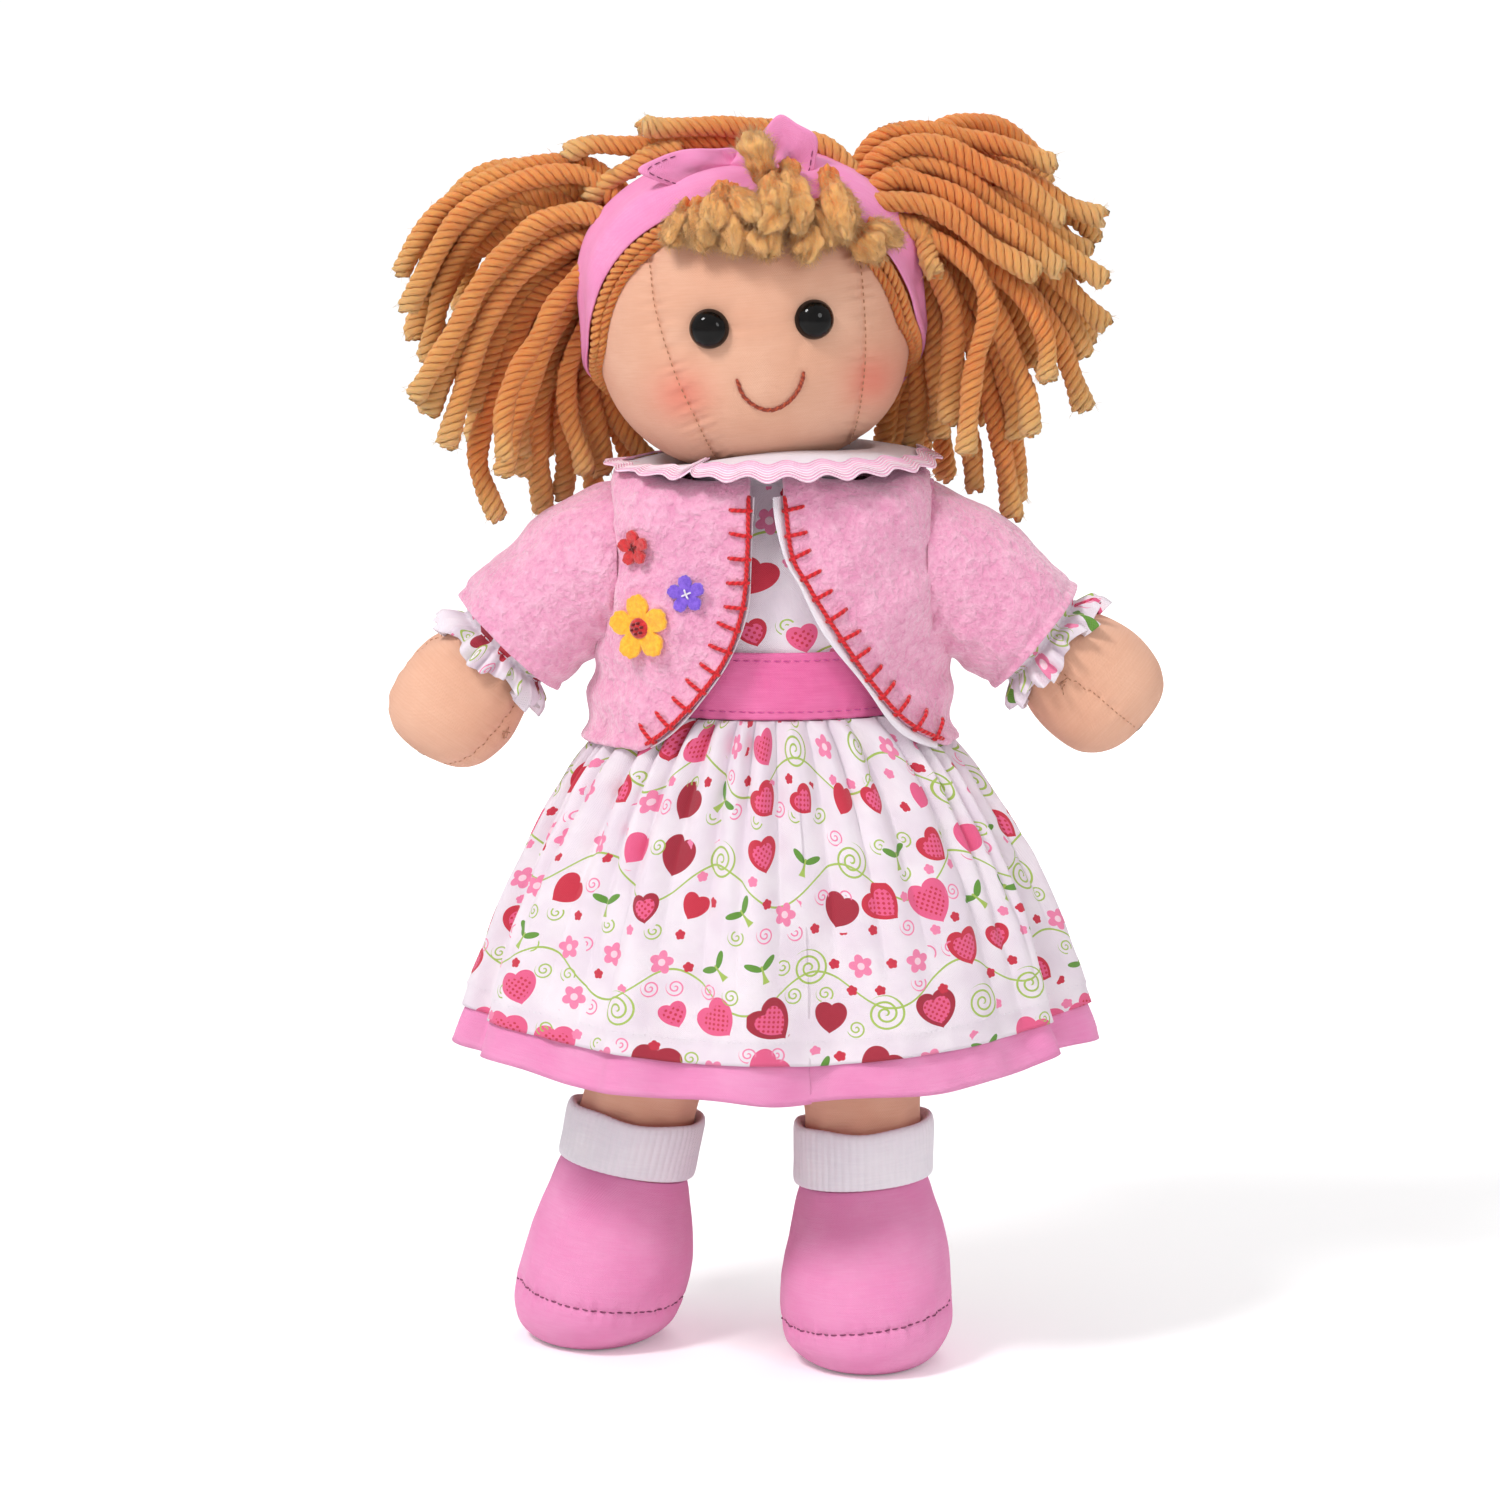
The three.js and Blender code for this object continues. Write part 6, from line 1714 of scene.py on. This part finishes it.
def make_cardigan():
    up = CARDIGAN_TABLE[:, 0]
    rows_at = np.linspace(0, len(up) - 1, 62).astype(int)
    up = up[rows_at]
    a, b = (CARDIGAN_TABLE[rows_at, 1:] * CARDIGAN_HALF).T
    z = CARDIGAN_LOW + up * CARDIGAN_SPAN
    ends = []
    for line in (LEFT_EDGE, RIGHT_EDGE):
        x = np.interp(up, line[:, 1], line[:, 0]) * CARDIGAN_HALF[0]
        share = np.clip(np.abs(x) / a, 0, 0.99)
        power = cardigan_power(z)
        y = b * (1 - share**power) ** (1 / power)
        ends.append(np.arctan2(-y / b, np.sign(x) * share))
    first, last = ends[0], TURN + ends[1]
    count = 196
    share = np.linspace(0, 1, count)[None]
    t = first[:, None] + (last - first)[:, None] * share
    power = cardigan_power(z)[:, None]
    square = (np.abs(np.cos(t)) ** power + np.abs(np.sin(t)) ** power) ** (-1 / power)
    across, ahead = a[:, None] * np.cos(t) * square, b[:, None] * np.sin(t) * square
    points = np.stack([across, ahead, z[:, None] + 0 * t], -1)
    out = normals_of(points, False)
    nubs = ripple(points, 4.2, 40) * 0.15
    broad = ripple(points, 28) * 1.15 + ripple(points, 12) * 0.42
    hem = -0.5 * bell(z - CARDIGAN_LOW - 3.2, 0.9)[:, None]
    side_creases = np.sin(z[:, None] * TURN / 12 + np.cos(t) * 3) * np.abs(np.cos(t)) ** 3
    side_creases = side_creases * smoothstep(206, 188, z)[:, None]
    edge = np.minimum(share, 1 - share) * (last - first)[:, None] * 36
    calm = smoothstep(0, 9, edge)
    armhole = np.hypot(z[:, None] - SHOULDER, points[..., 1])
    groove = -0.3 * bell(armhole - 20.5, 1.8) * smoothstep(34, 38, np.abs(points[..., 0]))
    pull = 0.8 * np.sin(np.arctan2(z[:, None] - SHOULDER, points[..., 1]) * 9)
    pull = pull * bell(armhole - 24, 5.5) * smoothstep(26, 36, np.abs(points[..., 0]))
    relief = nubs + (broad + side_creases) * mix(0.3, 1, calm) + hem + groove + pull
    points = points + out * relief[..., None]
    lift = 0.8 * bell(edge, 2.6)
    points = points + out * lift[..., None]
    ringed = smoothstep(16.6, 15.0, armhole)
    limit = mix(70, 39.9, ringed)
    points[..., 0] = np.clip(points[..., 0], -limit, limit)
    points[..., 2] += 2.2 * smoothstep(25, 38, np.abs(points[..., 0])) * smoothstep(221, 229.5, z)[:, None]
    pile = Pile().grid(points)
    show("cardigan_cloth", pile, FLEECE, "torso", ("cardigan_body",), 2.0, 1)


def make_cardigan_edges():
    """The white facing and the blanket stitch down each front edge."""
    for name, curve, side in (("right", RIGHT_EDGE, 1), ("left", LEFT_EDGE, -1)):
        across, up = curve[:, 0] * CARDIGAN_HALF[0], CARDIGAN_LOW + curve[:, 1] * CARDIGAN_SPAN
        line = even(np.c_[across, up, 0 * up], 0.6)[:, :2]
        a_here, _ = cardigan_size((line[:, 1] - CARDIGAN_LOW) / CARDIGAN_SPAN)
        line = line[(line[:, 1] < 231.5) & (line[:, 1] > 166.2) & (np.abs(line[:, 0]) < a_here * 0.96)]
        way = unit(np.gradient(line, axis=0))
        inwards = np.stack([-way[:, 1], way[:, 0]], 1) * side
        # the facing rolls out past the fleece's edge
        reach = np.linspace(-1, 1, 13)
        roll = (1.1 if name == "left" else 0.5) * (1 + 0.3 * np.sin(np.arange(len(line)) * 0.11))
        rows = []
        for s in reach:
            off = -roll * (0.5 - 0.5 * s) * 2
            base = line + inwards * off[:, None]
            lift = -1.3 - 0.9 * s + 0.9 * math.cos(s * 1.3)
            spots, _ = cardigan_front(base[:, 0], base[:, 1], lift)
            rows.append(spots)
        pile = Pile().grid(np.array(rows))
        show("facing_" + name, pile, WHITE, "torso", (), 0.5, 1)
        # a thread lies on the edge, and a bar crosses it at each stitch
        pile = Pile()
        spine = line + inwards * 0.35
        spots, _ = cardigan_front(spine[:, 0], spine[:, 1], 0.85)
        spots = spots + rng.normal(0, 0.04, spots.shape)
        tube(pile, spots, 0.6, 8)
        total = len(line) * 0.6
        count = int(total / 6.6)
        for k in range(count + 1):
            i = min(int((k + 0.35) * len(line) / (count + 1)), len(line) - 1)
            skew = rng.uniform(-0.15, 0.15)
            steps = np.linspace(-0.3, 5.4 + rng.uniform(-0.5, 0.4), 9)
            base = line[i] + inwards[i] * steps[:, None] + way[i] * (steps * skew)[:, None]
            lift = 0.85 - 0.9 * smoothstep(4.2, 5.6, steps) + 0.12 * np.sin(steps)
            spots, _ = cardigan_front(base[:, 0], base[:, 1], lift)
            _, out_here = cardigan_front(base[:1, 0], base[:1, 1])
            wrap = spots[:1] - out_here * 1.6
            tube(pile, np.concatenate([wrap, spots]), 0.56, 8)
        nodes = ("blanket_stitch_" + name,)
        show("blanket_stitches_" + name, pile, RED_THREAD, "torso", nodes)


# Felt flowers

PETAL_SHRINK, PETAL_REACH = 0.9, 1.78


def make_flower(name, x, up, petal, thick, material, centre=False):
    """A flower of five round petals, x across and up the cardigan's front as shares of its size."""
    across, high = np.array([x * CARDIGAN_HALF[0]]), np.array([CARDIGAN_LOW + up * CARDIGAN_SPAN])
    spot, out = cardigan_front(across, high, 1.0)
    out = out[0]
    over = unit(np.cross(Z, out))
    high = np.cross(out, over)
    t = circle(160)
    petal = petal * PETAL_SHRINK
    reach = petal * PETAL_REACH
    turned = t - math.pi / 2 - 0.12
    near = (turned + math.pi / 5) % (TURN / 5) - math.pi / 5
    edge = reach * np.cos(near) + np.sqrt(np.maximum(petal**2 - (reach * np.sin(near)) ** 2, 0))
    hollow = reach * np.sin(near)
    edge = np.where(np.abs(hollow) < petal, edge, reach * np.cos(near))
    edge = edge * (1 + 0.02 * np.sin(t * 13) + 0.015 * np.sin(t * 29))
    profile = [(0.02, -0.5), (0.5, -0.5), (0.93, -0.5), (0.985, -0.35), (1.0, 0), (0.985, 0.35), (0.93, 0.5),
               (0.75, 0.55), (0.5, 0.5), (0.25, 0.4), (0.02, 0.4)]

    def spread(size):
        """Points round the flower's middle, on its plane."""
        return (size * np.cos(t))[:, None] * over + (size * np.sin(t))[:, None] * high

    rows = []
    for share, high_share in spline(profile, 44):
        r = edge * share
        lift = high_share * thick + 0.5 * (r / reach) ** 2 * np.cos(near * 5 / 2) * 0.5
        rows.append(spot + spread(r) + lift[:, None] * out)
    rows = np.array(rows)
    rows += (ripple(rows, 1.6, 30) * 0.06)[..., None] * out
    pile = Pile().grid(rows, **CLOSED)
    fix_faces(pile)
    show(name + "_felt", pile, material, "torso", (name,))

    def dome(place, radius, height, bump=0.0):
        lat = np.linspace(0, math.pi / 2 - 0.05, 12)
        rows = [place + spread(radius * math.cos(k)) + height * math.sin(k) * out for k in lat]
        rows = np.array(rows)
        rows += (ripple(rows, 1.3, 30) * bump)[..., None] * out
        made = Pile().grid(rows, **CLOSED)
        fix_faces(made)
        return made

    top = spot[0] + out * thick * 0.45
    if centre:
        show("flower_centre_felt", dome(top, 2.7, 1.3, 0.12), RED, "torso", ("flower_centre",))
        knots = Pile()
        for k in range(7):
            a = TURN * k / 6 + 0.3
            around = 1.45 * (math.cos(a) * over + math.sin(a) * high)
            place = top + out + (around if k < 6 else 0.3 * out)
            spots = place + np.array([-0.35 * over, 0.28 * out, 0.35 * over])
            tube(knots, spots, 0.42, 7)
        show("flower_knots", knots, DARK_RED_THREAD, "torso")
    else:
        knots = Pile()
        for k in range(4):
            a = TURN * k / 4 + 0.4
            way = math.cos(a) * over + math.sin(a) * high
            tube(knots, top + np.array([0 * out, 0.35 * out + 0.5 * way, 1.25 * way]), 0.26, 6)
        show(name + "_thread", knots, WHITE_THREAD if "purple" in name else DARK_RED_THREAD, "torso")


# Camera, light and floor

# the sky's strength on the doll, and as the camera sees it
SKY_LIGHT, SKY_SEEN = 0.62, 1.1


def backdrop():
    """A pale floor that keeps the doll's shadow, under an even white sky."""
    made = Finish("floor", 1.0, specular=0.0)
    grain = made.noise(made.spot(), 3.0, 2)
    made.colour(grain.mixed(linear(250, 250, 251), linear(252, 252, 252)))
    seen = made.node("ShaderNodeLightPath", 0)
    x, y, _ = made.split(made.spot())
    far = ((x * x + y * y) ** 0.5).ramp(0.25, 1.2, 0.16, 0.46)
    strength = seen * far
    made.tree.links.new(strength.socket, made.shader.inputs["Emission Strength"])
    made.shader.inputs["Emission Color"].default_value = (1, 1, 1, 1)
    half = 40.0
    mesh = bpy.data.meshes.new("floor")
    corners = [(-half, -half, 0), (half, -half, 0), (half, half, 0), (-half, half, 0)]
    mesh.from_pydata(corners, [], [(0, 1, 2, 3)])
    mesh.materials.append(made.material)
    floor = bpy.data.objects.new("floor", mesh)
    bpy.context.scene.collection.objects.link(floor)

    world = bpy.data.worlds.new("studio")
    bpy.context.scene.world = world
    world.use_nodes = True
    tree = world.node_tree
    path = tree.nodes.new("ShaderNodeLightPath")
    sky = tree.nodes["Background"]
    sky.inputs["Color"].default_value = (1, 1, 1, 1)
    strength = tree.nodes.new("ShaderNodeMapRange")
    tree.links.new(path.outputs["Is Camera Ray"], strength.inputs[0])
    strength.inputs[3].default_value = SKY_LIGHT
    strength.inputs[4].default_value = SKY_SEEN
    tree.links.new(strength.outputs[0], sky.inputs["Strength"])


def lamp(name, place, height, size, power):
    """A round lamp that faces a height on the doll's axis."""
    light = bpy.data.lights.new(name, "AREA")
    light.shape, light.size, light.energy = "DISK", size, power
    lamp_object = bpy.data.objects.new(name, light)
    bpy.context.scene.collection.objects.link(lamp_object)
    lamp_object.location = place
    lamp_object.rotation_euler = (Vector((0, 0, height)) - Vector(place)).to_track_quat("-Z", "Y").to_euler()


CAMERA_RISE = math.radians(8.5)
CAMERA_AWAY = 1.45


def make_camera():
    """The photograph's view: from a little above, towards the doll's middle."""
    target = Vector((-0.0058, 0, 0.1614)) + Vector(ORIGIN * MM)
    camera = bpy.data.cameras.new("camera")
    camera.sensor_width, camera.lens = 36, 131.8
    seat = bpy.data.objects.new("camera", camera)
    bpy.context.scene.collection.objects.link(seat)
    seat.location = target + CAMERA_AWAY * Vector((0, -math.cos(CAMERA_RISE), math.sin(CAMERA_RISE)))
    seat.rotation_euler = (target - seat.location).to_track_quat("-Z", "Y").to_euler()
    bpy.context.scene.camera = seat


make_torso()
make_neck()
make_head()
make_eyes()
make_cap()
make_headband()
make_fringe()
for name, side in SIDES:
    make_bunch(name, side)
for name, side in SIDES:
    make_arm(name)
    make_printed_sleeve(name)
    make_fleece_sleeve(name)
    make_leg(name)
    make_shoe(name)
    make_sock(name)
make_bodice()
make_waistband()
for name, side in SIDES:
    make_skirt(name, side)
make_collar()
make_cardigan()
make_cardigan_edges()
make_flower("flower_yellow", -0.767, 0.5, 3.5, 1.4, YELLOW, True)
make_flower("flower_purple", -0.5, 0.645, 2.0, 1.3, PURPLE)
make_flower("flower_red", -0.8, 0.82, 1.9, 1.3, RED)
backdrop()
lamp("key", (-0.85, -0.8, 1.5), 0.17, 0.45, 17.5)
lamp("fill", (0.9, -1.2, 0.8), 0.17, 0.5, 3.6)
lamp("rim", (0.3, 1.1, 1.2), 0.2, 0.8, 5)
make_camera()

bpy.context.view_layer.update()
